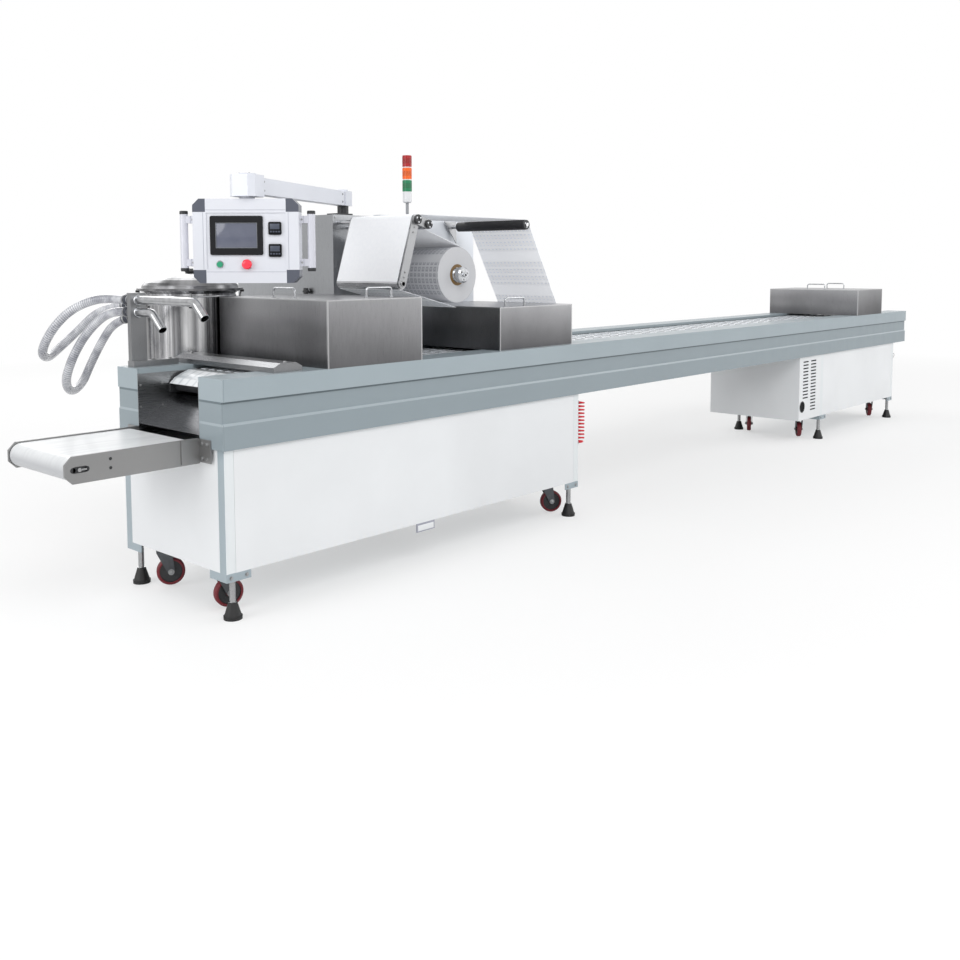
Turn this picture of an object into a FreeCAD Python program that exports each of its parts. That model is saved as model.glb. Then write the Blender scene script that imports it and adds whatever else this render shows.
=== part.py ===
import FreeCAD, Part
import math
import os

import Sketcher
from FreeCAD import Rotation, Vector

# Syringe packaging machine: two long beams on two cabinets, an outfeed belt at the left end,
# a paper unwinding station in the middle, and an operator panel on a swinging arm.
# Millimetres. While it is drawn, x runs from the left end of the beams, y from the front
# face of the front beam to the rear, and z up from the floor. Each sub-part's Placement then
# moves it to the reference point, which lies on the floor under the middle of the machine.

doc = FreeCAD.newDocument("SyringePackagingMachine")

SIZES = {
    # the two beams and the bed between them
    "beam_length": 7650,
    "beam_top": 1000,
    "beam_height": 290,
    "beam_thick": 170,
    "frame_width": 820,
    "top_band": 92,
    "low_band": 100,
    "mid_recess": 11,
    "low_recess": 4,
    "ledge_slope": 9,
    "liner_thick": 3,
    "bed_top": 950,
    "bed_thick": 20,
    "member_inset": 700,
    "rail_height": 25,
    "rail_width": 26,
    "rail_start": 150,
    "film_level": 977,
    "film_thick": 2,
    "film_start": 250,
    # outfeed chute and its roller
    "chute_thick": 3,
    "chute_low": 759,
    "chute_high": 872,
    "chute_run": 193,
    "nose_x": 205,
    "nose_z": 912,
    "nose_radius": 28,
    "guide_thick": 8,
    # outfeed belt conveyor
    "outfeed_length": 573,
    "outfeed_top": 748,
    "outfeed_height": 105,
    "outfeed_plate": 10,
    "outfeed_inset": 168,
    "outfeed_chamfer": 30,
    "belt_thick": 3,
    "drum_roller_radius": 44,
    "slot_length": 64,
    "slot_height": 25,
    "slot_x": 27,
    "slot_deep": 5,
    "bracket_thick": 5,
    "bracket_reach": 82,
    "bracket_height": 96,
    "bracket_low": 650,
    # cabinets
    "cabinet_top": 710,
    "cabinet_bottom": 200,
    "cabinet_setback": 18,
    "post_width": 45,
    "panel_thick": 16,
    "panel_gap": 1,
    "floor_thick": 6,
    "left_cabinet_x": 12,
    "left_cabinet_length": 2393,
    "right_cabinet_back": 1883,
    "right_cabinet_length": 1630,
    "overhang_length": 406,
    "corner_plate_length": 120,
    "corner_plate_height": 35,
    "louvre_length": 98,
    "louvre_height": 11,
    "louvre_pitch": 26.4,
    "louvre_left_x": 68,
    "louvre_right_x": 212,
    "louvre_top": 668,
    "cable_hole_radius": 42,
    "cable_hole_x": 60,
    "cable_hole_z": 308,
    # levelling feet
    "foot_inset": 32,
    "pad_radius": 38.5,
    "pad_top_radius": 18,
    "pad_height": 73,
    "stem_radius": 12.5,
    "nut_radius": 19,
    "nut_height": 16,
    "near_foot_inset": 48,
    "left_far_foot_inset": 49,
    "right_far_foot_inset": 33,
    # casters
    "caster_inset": 165,
    "near_caster_inset": 86,
    "left_far_caster_inset": 87,
    "overhang_caster_reach": 25,
    "right_far_caster_inset": 113,
    "wheel_radius": 62.5,
    "wheel_width": 34,
    "wheel_clear": 8,
    "core_radius": 50,
    "hub_radius": 15,
    "hub_length": 40,
    "axle_radius": 6,
    "axle_play": 0.05,
    "fork_trail": 28,
    "fork_gap": 44,
    "fork_plate": 4,
    "swivel_radius": 30,
    "swivel_height": 20,
    "top_plate_side": 96,
    "top_plate_thick": 6,
    "seat_gap": 0.3,
    # covers
    "sheet": 3,
    "cover_a_x": 542,
    "cover_a_length": 580,
    "cover_a_height": 300,
    "cover_a_inset": 1,
    "cover_b_x": 1741,
    "cover_b_length": 631,
    "cover_b_height": 228,
    "cover_b_inset": 43,
    "cover_c_back": 1184,
    "cover_c_length": 556,
    "cover_c_height": 223,
    "cover_c_inset": 1,
    "handle_rod": 5,
    "handle_bend": 14,
    "handle_height": 50,
    "handle_length": 160,
    "bar_x": 281,
    "bar_width": 150,
    "bar_inset": 40,
    "bar_height": 40,
    "bar_edge": 22,
    "bar_bevel": 34,
    # trim suction
    "block_x": 19,
    "block_inset": 114,
    "block_length": 222,
    "block_width": 54,
    "block_height": 27,
    "post_x": 19,
    "post_inset": 96,
    "post_length": 76,
    "post_depth": 29,
    "post_top": 1331,
    "pipe_x": 57,
    "pipe_radius": 19.5,
    "pipe_wall": 2,
    "pipe_bend": 60,
    "pipe_droop": 42,
    "upper_pipe_z": 1299,
    "upper_pipe_run": 430,
    "upper_pipe_tip": 75,
    "lower_pipe_z": 1244,
    "lower_pipe_run": 95,
    "lower_pipe_tip": 85,
    "stub_radius": 17,
    "stub_length": 46.7,
    "hose_radius": 21,
    "barrel_x": 529,
    "barrel_gap": 10,
    "barrel_radius": 220,
    "barrel_rim_radius": 258,
    "barrel_bottom": 905,
    "barrel_rim": 1340,
    "barrel_lip": 10,
    "dome_radius": 236,
    "dome_height": 74,
    "knob_radius": 16,
    "knob_height": 22,
    "inlet_length": 190,
    "shelf_thick": 8,
    "shelf_rib": 120,
    # electrical housing and white rear panel
    "housing_x": 1220,
    "backing_thick": 54,
    "housing_length": 338,
    "housing_depth": 850,
    "housing_top": 1720,
    "housing_step": 10,
    "plinth_height": 60,
    "plinth_inset": 30,
    "door_thick": 20,
    "door_margin": 12,
    "backing_end": 2330,
    "backing_top": 1730,
    # paper path
    "web_front": 184,
    "web_margin": 186,
    "web_thick": 2,
    "roller_radius": 24,
    "roller_cap": 27,
    "first_roller_x": 1257,
    "first_roller_z": 1677,
    "second_roller_x": 1334,
    "second_roller_z": 1654,
    "low_roller_x": 1161,
    "low_roller_z": 1360,
    "low_roller_radius": 30,
    "black_roller_x": 2120,
    "black_roller_z": 1674,
    "black_roller_radius": 28,
    "shaft_radius": 10,
    "arm_plate": 8,
    "arm_plate_width": 48,
    "web_foot_x": 2544,
    "reel_x": 1564,
    "reel_z": 1400,
    "reel_radius": 145,
    "core_bore": 38,
    "core_outer": 55,
    "chuck_radius": 40,
    "chuck_reach": 60,
    "reel_shaft_radius": 25,
    "bearing_radius": 55,
    "bearing_depth": 24,
    # stack light
    "light_x": 1796,
    "light_pole_radius": 9,
    "light_pole_height": 76,
    "light_radius": 26,
    "light_base_height": 58,
    "lens_height": 64,
    "lens_gap": 6,
    # operator panel and arm
    "pivot_x": 1325,
    "pivot_inset": 40,
    "pivot_radius": 30,
    "base_plate_left": 72,
    "base_plate_front": 36,
    "base_plate_length": 110,
    "base_plate_width": 84,
    "base_plate_thick": 8,
    "block_back": 44,
    "block_span": 82,
    "block_lip": 4,
    "head_trim": 18,
    "head_cut": 24,
    "head_overlap": 20,
    "arm_low": 1770,
    "arm_height": 75,
    "arm_width": 62,
    "arm_reach": 1030,
    "arm_turn": 205.4,
    "head_low": 1755,
    "head_top": 1851,
    "head_half": 62,
    "panel_width": 468,
    "panel_height": 371,
    "panel_depth": 80,
    "panel_low": 1374,
    "panel_turn": -48,
    "corner_width": 56,
    "corner_height": 58,
    "corner_cut": 28,
    "face_recess": 4,
    "face_rim": 4,
    "neck_radius": 34,
    "bezel_width": 233,
    "bezel_height": 172,
    "bezel_thick": 7,
    "bezel_x": -41,
    "bezel_z": 24,
    "dial_side": 57,
    "dial_thick": 9,
    "dial_x": 129,
    "dial_upper_z": 55,
    "dial_lower_z": -42,
    "button_z": -103,
    "start_x": -117,
    "start_radius": 13,
    "start_reach": 9,
    "stop_x": 5,
    "stop_radius": 11,
    "stop_reach": 14,
    "mushroom_radius": 22,
    "mushroom_thick": 12,
    "button_play": 0.5,
    "button_pocket": 16,
    "button_seat": 9,
    "grip_radius": 17.5,
    "grip_reach": 283,
    "grip_length": 250,
    "lug_height": 32,
    "lug_depth": 26,
    "lug_offset": 95,
    # coiled air lines
    "coil_radius": 30,
    "coil_y": 30,
    "coil_top": 655,
    "coil_low": 430,
    "air_radius": 4,
    "short_coil_radius": 18,
    "short_coil_top": 478,
    "short_coil_low": 392,
    "regulator_gap": 27,
    "regulator_y": 52,
    "regulator_top": 640,
    "regulator_radius": 21,
}

sheet = doc.addObject("Spreadsheet::Sheet", "Sizes")
for row, (alias, value) in enumerate(SIZES.items(), start=1):
    sheet.set(f"A{row}", alias)
    sheet.set(f"B{row}", str(value))
    sheet.setAlias(f"B{row}", alias)
doc.recompute()


class Size:
    """A number together with the sheet expression that gives it."""

    def __init__(self, number, text):
        self.number = number
        self.text = text

    def __add__(self, other):
        other = size(other)
        return Size(self.number + other.number, f"({self.text} + {other.text})")

    def __radd__(self, other):
        return size(other) + self

    def __sub__(self, other):
        other = size(other)
        return Size(self.number - other.number, f"({self.text} - {other.text})")

    def __rsub__(self, other):
        return size(other) - self

    def __mul__(self, other):
        other = size(other)
        return Size(self.number * other.number, f"({self.text} * {other.text})")

    def __rmul__(self, other):
        return size(other) * self

    def __truediv__(self, other):
        other = size(other)
        return Size(self.number / other.number, f"({self.text} / {other.text})")

    def __neg__(self):
        return size(0) - self

    def __float__(self):
        return float(self.number)


def size(value):
    """A plain number as a Size, and a Size as it is."""
    if isinstance(value, Size):
        return value
    return Size(value, f"({value})")


def sine(angle):
    return Size(math.sin(math.radians(angle.number)), f"sin({angle.text})")


def cosine(angle):
    return Size(math.cos(math.radians(angle.number)), f"cos({angle.text})")


def root(area):
    return Size(math.sqrt(area.number), f"sqrt({area.text})")


class Sheet:
    """Every alias of the sheet as an attribute that is a Size."""

    def __getattr__(self, alias):
        return Size(float(sheet.get(alias)), "Sizes." + alias)


S = Sheet()

# Levels and lines that several pieces share.
beam_bottom = S.beam_top - S.beam_height
inner_front = S.beam_thick
inner_rear = S.frame_width - S.beam_thick
middle_x = (S.beam_length - S.outfeed_length) / 2
housing_front = S.frame_width - S.backing_thick
rear_face = housing_front + S.housing_depth + S.door_thick
middle_y = rear_face / 2
left_cabinet_end = S.left_cabinet_x + S.left_cabinet_length
right_cabinet_x = S.beam_length - S.right_cabinet_back
right_cabinet_start = right_cabinet_x - S.overhang_length
right_cabinet_end = right_cabinet_x + S.right_cabinet_length
cover_c_x = S.beam_length - S.cover_c_back
regulator_x = right_cabinet_end + S.regulator_gap
block_y = S.frame_width - S.block_inset
post_y = S.frame_width - S.post_inset
barrel_y = S.frame_width + S.barrel_gap + S.barrel_radius
web_width = S.frame_width - S.web_front - S.web_margin
web_rear = S.web_front + web_width
pivot_y = housing_front + S.pivot_inset
panel_middle = S.panel_low + S.panel_height / 2
head_x = S.pivot_x + S.arm_reach * cosine(S.arm_turn)
head_y = pivot_y + S.arm_reach * sine(S.arm_turn)
axle_height = S.wheel_clear + S.wheel_radius


# The routes of the two suction hoses, from the post's stubs round to the barrel's inlets.
UPPER_HOSE = [
    (57, 800, 1299), (57, 905, 1299), (12, 1010, 1300), (-70, 1090, 1255), (-145, 1135, 1165),
    (-165, 1215, 1055), (-85, 1335, 1005), (30, 1440, 1045), (130, 1455, 1120), (195, 1395, 1210),
    (238, 1300, 1248), (271, 1197, 1258),
]

LOWER_HOSE = [
    (57, 800, 1244), (57, 900, 1244), (38, 1000, 1222), (-15, 1070, 1140), (-65, 1110, 1030),
    (-78, 1170, 910), (0, 1275, 840), (110, 1375, 865), (175, 1410, 960), (210, 1350, 1080),
    (238, 1280, 1170), (271, 1197, 1196),
]


def new(kind, name):
    return doc.addObject(kind, name)


def bind(item, **sizes):
    for name, value in sizes.items():
        item.setExpression(name, size(value).text)


def put(item, x, y, z):
    """Bind where an item stands."""
    for axis, value in (("x", x), ("y", y), ("z", z)):
        item.setExpression("Placement.Base." + axis, size(value).text)


def box(name, corner, lengths):
    item = new("Part::Box", name)
    bind(item, Length=lengths[0], Width=lengths[1], Height=lengths[2])
    put(item, *corner)
    return item


TOWARDS = {
    "x": Rotation(Vector(0, 1, 0), 90),
    "y": Rotation(Vector(1, 0, 0), -90),
    "z": Rotation(),
}
HALF_TURN = Rotation(Vector(0, 0, 1), 180)


def rod(name, axis, start, length, radius):
    """A cylinder that starts at a point and runs along an axis."""
    item = new("Part::Cylinder", name)
    item.Placement = FreeCAD.Placement(Vector(), TOWARDS[axis])
    bind(item, Radius=radius, Height=length)
    put(item, *start)
    return item


def cone(name, start, length, low_radius, top_radius):
    item = new("Part::Cone", name)
    bind(item, Radius1=low_radius, Radius2=top_radius, Height=length)
    put(item, *start)
    return item


def fuse(name, items):
    item = new("Part::MultiFuse", name)
    item.Shapes = items
    item.Refine = True
    return item


def cut(name, base, tools):
    """The base less one tool or a bundle of tools."""
    item = new("Part::Cut", name)
    item.Base = base
    item.Tool = tools[0] if len(tools) == 1 else bundle(name + "Tools", tools)
    return item


def bundle(name, items):
    """Several solids kept together."""
    item = new("Part::Compound", name)
    item.Links = items
    return item


def plane_of(body, role):
    return [item for item in body.Origin.OriginFeatures if item.Role == role][0]


def outline(body, role, corners):
    """A closed outline of straight edges with each corner bound to the sheet."""
    sketch = body.newObject("Sketcher::SketchObject", body.Name + "Outline")
    sketch.AttachmentSupport = [(plane_of(body, role), "")]
    sketch.MapMode = "FlatFace"
    corners = [(size(across), size(up)) for across, up in corners]
    points = [Vector(float(across), float(up), 0) for across, up in corners]
    for index, point in enumerate(points):
        sketch.addGeometry(Part.LineSegment(point, points[(index + 1) % len(points)]), False)
    for index, (across, up) in enumerate(corners):
        follower = (index + 1) % len(corners)
        sketch.addConstraint(Sketcher.Constraint("Coincident", index, 2, follower, 1))
        for kind, value in (("DistanceX", across), ("DistanceY", up)):
            held = sketch.addConstraint(Sketcher.Constraint(kind, -1, 1, index, 1, float(value)))
            sketch.setExpression(f"Constraints[{held}]", value.text)
    return sketch


def pad(name, role, corners, start, length):
    """An outline on a base plane, padded away from a start along the plane's own axis."""
    body = new("PartDesign::Body", name)
    sketch = outline(body, role, corners)
    towards_front = role == "XZ_Plane"
    offset = -size(start) if towards_front else size(start)
    sketch.setExpression("AttachmentOffset.Base.z", offset.text)
    feature = body.newObject("PartDesign::Pad", name + "Pad")
    feature.Profile = sketch
    feature.Reversed = towards_front
    bind(feature, Length=length)
    return body


def turned(name, corners):
    """A profile of radius and height, turned a full circle about the upright axis."""
    body = new("PartDesign::Body", name)
    sketch = outline(body, "XZ_Plane", corners)
    feature = body.newObject("PartDesign::Revolution", name + "Turn")
    feature.Profile = sketch
    feature.ReferenceAxis = (sketch, ["V_Axis"])
    feature.Angle = 360
    return body


def laid(item, axis, x, y, z):
    """Turn a piece that was made upright to an axis and put it at a point."""
    item.Placement = FreeCAD.Placement(Vector(), TOWARDS[axis])
    put(item, x, y, z)
    return item


sub_parts = []


def sub_part(node, item, x=0, y=0, turn=None):
    """Label a finished piece and move it to the reference point."""
    if turn is not None:
        item.Placement = FreeCAD.Placement(Vector(), Rotation(Vector(0, 0, 1), float(turn)))
        item.setExpression("Placement.Rotation.Angle", turn.text)
    item.Label = node
    put(item, x - middle_x, y - middle_y, 0)
    sub_parts.append(item)


def frame_part(node, items, **place):
    sub_part(node, bundle(node + "_pieces", items), **place)


# Beams

def beam_outline(outer, inward):
    """A beam's section: a proud top band, a recessed middle and a lower band with a ledge."""
    upper = S.beam_top - S.top_band
    lower = beam_bottom + S.low_band
    recess = outer + inward * S.mid_recess
    low_face = outer + inward * S.low_recess
    inner = outer + inward * S.beam_thick
    return [(outer, S.beam_top), (outer, upper), (recess, upper), (recess, lower + S.ledge_slope),
            (low_face, lower), (low_face, beam_bottom), (inner, beam_bottom), (inner, S.beam_top)]


def beams():
    for node, outer, inward in (("front_beam", size(0), 1), ("rear_beam", S.frame_width, -1)):
        section = beam_outline(outer, inward)
        sub_part(node, pad(node + "_body", "YZ_Plane", section, 0, S.beam_length))


def bed_trough():
    """One folded sheet: a liner up each beam and the bed plate between them."""
    front = inner_front
    rear = inner_rear
    bed_low = S.bed_top - S.bed_thick
    section = [(front, beam_bottom), (front, S.film_level), (front + S.liner_thick, S.film_level),
               (front + S.liner_thick, S.bed_top), (rear - S.liner_thick, S.bed_top),
               (rear - S.liner_thick, S.film_level), (rear, S.film_level), (rear, beam_bottom),
               (rear - S.liner_thick, beam_bottom), (rear - S.liner_thick, bed_low),
               (front + S.liner_thick, bed_low), (front + S.liner_thick, beam_bottom)]
    trough = pad("trough_body", "YZ_Plane", section, 0, S.beam_length)
    mouth = box("trough_mouth", (-1, front + S.liner_thick, bed_low - 1),
                (S.nose_x + 60, rear - front - 2 * S.liner_thick, S.bed_thick + 2))
    frame_part("bed_trough", [cut("trough_cut", trough, [mouth])] + cross_members())


def cross_members():
    """Square tubes between the beams, which tie the frame under the bed."""
    members = []
    count = 6
    step = (S.beam_length - 2 * S.member_inset) / (count - 1)
    inside = inner_rear - inner_front - 2 * S.liner_thick
    for index in range(count):
        members.append(box(f"cross_member_{index}",
                           (S.member_inset + step * index, inner_front + S.liner_thick, beam_bottom + 10),
                           (60, inside, 60)))
    return members


def chain_guides():
    """The rails along both edges of the bed, in which the gripper chains run."""
    front = inner_front + S.liner_thick
    rear = inner_rear - S.liner_thick
    start = S.nose_x + 60
    rails = []
    for name, low_y, out in (("front", front, 1), ("rear", rear, -1)):
        inner = low_y + out * S.rail_width
        lip = low_y + out * (S.rail_width - 8)
        rail_top = S.bed_top + S.rail_height
        section = [(low_y, S.bed_top), (low_y, rail_top), (lip, rail_top), (lip, rail_top - 9),
                   (lip - out * 6, rail_top - 9), (lip - out * 6, rail_top - 16),
                   (inner, rail_top - 16), (inner, S.bed_top)]
        rails.append(pad(name + "_guide_body", "YZ_Plane", section, start,
                         S.beam_length - start - 20))
    frame_part("chain_guides", rails)


def film_web():
    """The formed film: flat along the bed, then over the nose roller and down."""
    top = S.film_level + S.film_thick
    low = S.film_level
    front = inner_front + S.liner_thick + 8
    width = inner_rear - inner_front - 2 * S.liner_thick - 2 * 8
    flat = box("film_flat", (S.film_start, front, low),
               (S.beam_length - 260 - S.film_start, width, S.film_thick))
    ahead = S.nose_x - S.nose_radius
    section = [(S.film_start, low), (S.film_start, top), (S.nose_x + 10, S.nose_z + S.nose_radius + 26),
               (ahead, S.nose_z + S.nose_radius + 8), (ahead - 26, S.nose_z + 12),
               (ahead - 22, S.nose_z + 10), (ahead + 2, S.nose_z + S.nose_radius + 4),
               (S.nose_x + 10, S.nose_z + S.nose_radius + 22)]
    frame_part("film_web", [flat, pad("film_drape", "XZ_Plane", section, front, width)])


# Outfeed

def outfeed_chute():
    """The sloping sheet from under the nose roller down to the belt."""
    run = S.chute_run
    thick = S.chute_thick
    section = [(0, S.chute_low), (run, S.chute_high), (run + thick, S.chute_high),
               (run + thick, S.chute_low), (run, S.chute_low), (run, S.chute_high - 2 * thick),
               (2 * thick, S.chute_low)]
    inside = inner_rear - inner_front - 2 * S.liner_thick
    sub_part("outfeed_chute", pad("chute_body", "XZ_Plane", section,
                                  inner_front + S.liner_thick, inside))


def outfeed_nose():
    """The black nose roller between its two curved side guides."""
    front = inner_front + S.liner_thick
    rear = inner_rear - S.liner_thick
    low = S.nose_z - S.nose_radius
    reach = 2.2 * S.nose_radius
    guides = []
    for name, low_y in (("front", front), ("rear", rear - S.guide_thick)):
        steps = 6
        curve = []
        for step in range(steps + 1):
            angle = math.radians(180 - 90 * step / steps)
            curve.append((S.nose_x + 12 + reach * math.cos(angle), S.nose_z + reach * math.sin(angle)))
        section = [(S.nose_x + 55, low), (curve[0][0], low)] + curve
        section += [(S.nose_x + 55, S.nose_z + reach)]
        guides.append(pad(name + "_nose_guide_body", "XZ_Plane", section, low_y, S.guide_thick))
    roller = rod("nose_roller", "y", (S.nose_x, front + S.guide_thick, S.nose_z),
                 rear - front - 2 * S.guide_thick, S.nose_radius)
    frame_part("outfeed_nose", guides + [roller])


def conveyor_side(name, y, slot_y):
    """One side plate with cut corners at the free end, a belt slot and two pairs of holes."""
    left = -S.outfeed_length
    top = S.outfeed_top
    low = S.outfeed_top - S.outfeed_height
    cut_off = S.outfeed_chamfer
    corners = [(left + cut_off, low), (left, low + cut_off), (left, top - cut_off),
               (left + cut_off, top), (-2, top), (-2, low)]
    plate = pad(name + "_body", "XZ_Plane", corners, y, S.outfeed_plate)
    middle = top - S.outfeed_height / 2
    radius = S.slot_height / 2
    slot_x = left + S.slot_x
    tools = [
        box(name + "_slot", (slot_x + radius, slot_y, middle - radius),
            (S.slot_length - S.slot_height, S.slot_deep, S.slot_height)),
        rod(name + "_slot_left", "y", (slot_x + radius, slot_y, middle), S.slot_deep, radius),
        rod(name + "_slot_right", "y", (slot_x + S.slot_length - radius, slot_y, middle),
            S.slot_deep, radius),
    ]
    slot = fuse(name + "_slot_form", tools)
    holes = []
    for column, x in enumerate((-392, -77)):
        for line, drop in enumerate((-24, 11)):
            holes.append(rod(f"{name}_hole_{column}_{line}", "y", (x, y - 1, middle - drop),
                             S.outfeed_plate + 2, 4))
    return cut(name, plate, [slot] + holes)


def conveyor_frame():
    """Side plates, the slider bed under the belt, the end rollers and the brackets."""
    front = S.outfeed_inset
    rear = S.frame_width - S.outfeed_inset
    front_plate = conveyor_side("front_side", front, front)
    rear_plate = conveyor_side("rear_side", rear - S.outfeed_plate, rear - S.slot_deep)
    middle = S.outfeed_top - S.outfeed_height / 2
    inner = front + S.outfeed_plate
    span = rear - front - 2 * S.outfeed_plate
    radius = S.drum_roller_radius
    rollers = [
        rod("free_roller", "y", (-S.outfeed_length + radius + 6, inner, middle), span, radius),
        rod("drive_roller", "y", (-radius - 12, inner, middle), span, radius),
    ]
    slider = box("slider_bed", (-S.outfeed_length + 2 * radius + 20, inner, middle + radius - 14),
                 (S.outfeed_length - 4 * radius - 60, span, 12))
    frame = fuse("conveyor_fused", [front_plate, rear_plate, slider] + rollers + conveyor_brackets())
    sub_part("conveyor_frame", frame)


def conveyor_belt():
    """One closed loop of belt round both rollers."""
    front = S.outfeed_inset + S.outfeed_plate + 4
    span = S.frame_width - 2 * front
    middle = S.outfeed_top - S.outfeed_height / 2
    radius = S.drum_roller_radius + 0.2
    left = -S.outfeed_length + S.drum_roller_radius + 6
    right = -S.drum_roller_radius - 12
    loops = []
    for name, reach in (("outer", radius + S.belt_thick), ("inner", radius)):
        loops.append(fuse(f"belt_{name}", [
            box(f"belt_{name}_flat", (left, front, middle - reach), (right - left, span, 2 * reach)),
            rod(f"belt_{name}_left", "y", (left, front, middle), span, reach),
            rod(f"belt_{name}_right", "y", (right, front, middle), span, reach)]))
    frame_part("conveyor_belt", [cut("belt_loop", loops[0], [loops[1]])])


def conveyor_brackets():
    """Folded brackets that bolt the conveyor to the ends of the beams."""
    brackets = []
    thick = S.bracket_thick
    for name, edge, out in (("front", S.outfeed_inset, -1), ("rear", S.frame_width - S.outfeed_inset, 1)):
        far = edge + out * S.bracket_reach
        fold = edge + out * thick
        section = [(-thick, edge), (-thick, far), (0, far), (0, edge)]
        flange = pad(name + "_flange_body", "XY_Plane", section, S.bracket_low, S.bracket_height)
        web = [(-thick, edge), (-thick, fold), (-90, fold), (-90, edge)]
        arm = pad(name + "_bracket_arm_body", "XY_Plane", web, S.bracket_low, S.bracket_height)
        brackets.append(fuse(name + "_bracket", [flange, arm]))
    return brackets


# Cabinets

def cabinet_posts(name, left, right):
    """Four corner posts with folded corner plates at their feet, and the floor pan."""
    front = S.cabinet_setback
    rear = S.frame_width - S.cabinet_setback
    low = S.cabinet_bottom
    height = S.cabinet_top - low
    width = S.post_width
    pieces = [box(f"{name}_floor", (left + S.panel_thick, front + S.panel_thick, low),
                  (right - left - 2 * S.panel_thick, rear - front - 2 * S.panel_thick, S.floor_thick))]
    for end, x, inward in (("left", left, 1), ("right", right, -1)):
        for side, y, deeper in (("front", front, 1), ("rear", rear, -1)):
            post = [(x, y), (x + inward * width, y), (x + inward * width, y + deeper * S.panel_thick),
                    (x + inward * S.panel_thick, y + deeper * S.panel_thick),
                    (x + inward * S.panel_thick, y + deeper * width), (x, y + deeper * width)]
            upright = pad(f"{name}_{end}_{side}_post", "XY_Plane", post, low, height)
            reach = S.corner_plate_length
            thick = 4
            plate = [(x, y), (x + inward * reach, y), (x + inward * reach, y + deeper * thick),
                     (x + inward * thick, y + deeper * thick), (x + inward * thick, y + deeper * reach),
                     (x, y + deeper * reach)]
            foot = pad(f"{name}_{end}_{side}_plate", "XY_Plane", plate,
                       low - S.corner_plate_height, S.corner_plate_height)
            flap = 0.8 * reach
            gusset = box(f"{name}_{end}_{side}_gusset",
                         (x if inward > 0 else x - flap, y if deeper > 0 else y - flap, low - 6),
                         (flap, flap, 6))
            pieces.append(fuse(f"{name}_{end}_{side}_corner", [upright, foot, gusset]))
    return pieces


def cabinet_panels(name, left, right):
    """Flat panels between the posts, a little proud of them at the sides."""
    front = S.cabinet_setback
    rear = S.frame_width - S.cabinet_setback
    low = S.cabinet_bottom
    height = S.cabinet_top - low
    gap = S.panel_gap
    width = S.post_width
    along = right - left - 2 * width - 2 * gap
    across = rear - front - 2 * width - 2 * gap
    thick = S.panel_thick
    return [
        box(f"{name}_front", (left + width + gap, front, low), (along, thick, height)),
        box(f"{name}_rear", (left + width + gap, rear - thick, low), (along, thick, height)),
        box(f"{name}_left", (left, front + width + gap, low), (thick, across, height)),
        box(f"{name}_right", (right - thick, front + width + gap, low), (thick, across, height)),
    ]


def left_cabinet():
    left = S.left_cabinet_x
    right = left + S.left_cabinet_length
    frame_part("left_cabinet_frame", cabinet_posts("left_cabinet", left, right) + caster_plates("left"))
    frame_part("left_cabinet_panels", cabinet_panels("left_panel", left, right))


def right_cabinet():
    left = right_cabinet_x
    right = left + S.right_cabinet_length
    frame_part("right_cabinet_frame", cabinet_posts("right_cabinet", left, right) + caster_plates("right"))
    panels = cabinet_panels("right_panel", left, right)
    front = S.cabinet_setback
    depth = S.frame_width - 2 * S.cabinet_setback
    height = S.cabinet_top - S.cabinet_bottom
    start = right_cabinet_start
    thick = S.panel_thick
    rear = front + depth
    panels += [
        box("overhang_left", (start, front, S.cabinet_bottom), (thick, depth, height)),
        box("overhang_rear", (start + thick, rear - thick, S.cabinet_bottom),
            (left - start - thick - S.panel_gap, thick, height)),
        box("overhang_floor", (start + thick, front + thick, S.cabinet_bottom),
            (left - start - thick - S.panel_gap, depth - 2 * thick, S.floor_thick)),
    ]
    frame_part("right_cabinet_panels", panels)


def louvre_panel():
    """The front of the overhanging end: two columns of slots above a round cable hole."""
    start = right_cabinet_start + S.panel_thick
    length = right_cabinet_x - S.panel_gap - start
    front = S.cabinet_setback
    plate = box("louvre_plate", (start, front, S.cabinet_bottom),
                (length, S.panel_thick, S.cabinet_top - S.cabinet_bottom))
    slots = []
    for column, x, count in (("left", S.louvre_left_x, 12), ("right", S.louvre_right_x, 16)):
        for index in range(count):
            slots.append(box(f"louvre_{column}_{index}",
                             (right_cabinet_start + x, front - 1,
                              S.louvre_top - S.louvre_height / 2 - S.louvre_pitch * index),
                             (S.louvre_length, S.panel_thick + 2, S.louvre_height)))
    hole = rod("cable_hole", "y", (right_cabinet_start + S.cable_hole_x, front - 1, S.cable_hole_z),
               S.panel_thick + 2, S.cable_hole_radius)
    sub_part("louvre_panel", cut("louvre_cut", plate, slots + [hole]))


# Feet and casters

def foot_places():
    near = S.cabinet_setback + S.foot_inset
    for x in (S.left_cabinet_x + S.near_foot_inset, left_cabinet_end - S.left_far_foot_inset,
              right_cabinet_x + S.near_foot_inset, right_cabinet_end - S.right_far_foot_inset):
        for y in (near, S.frame_width - near):
            yield x, y


def levelling_feet():
    """A ribbed rubber pad on a steel stem with a lock nut under the cabinet."""
    feet = []
    for index, (x, y) in enumerate(foot_places()):
        pad_cone = cone(f"foot_pad_{index}", (x, y, 6), S.pad_height - 6, S.pad_radius, S.pad_top_radius)
        sole = rod(f"foot_sole_{index}", "z", (x, y, 0), 6, S.pad_radius)
        top = S.cabinet_bottom - 6
        stem = rod(f"foot_stem_{index}", "z", (x, y, S.pad_height), top - S.pad_height, S.stem_radius)
        nut = rod(f"foot_nut_{index}", "z", (x, y, top - S.nut_height - 8), S.nut_height, S.nut_radius)
        feet.append(fuse(f"foot_{index}", [pad_cone, sole, stem, nut]))
    frame_part("levelling_feet", feet)


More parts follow.
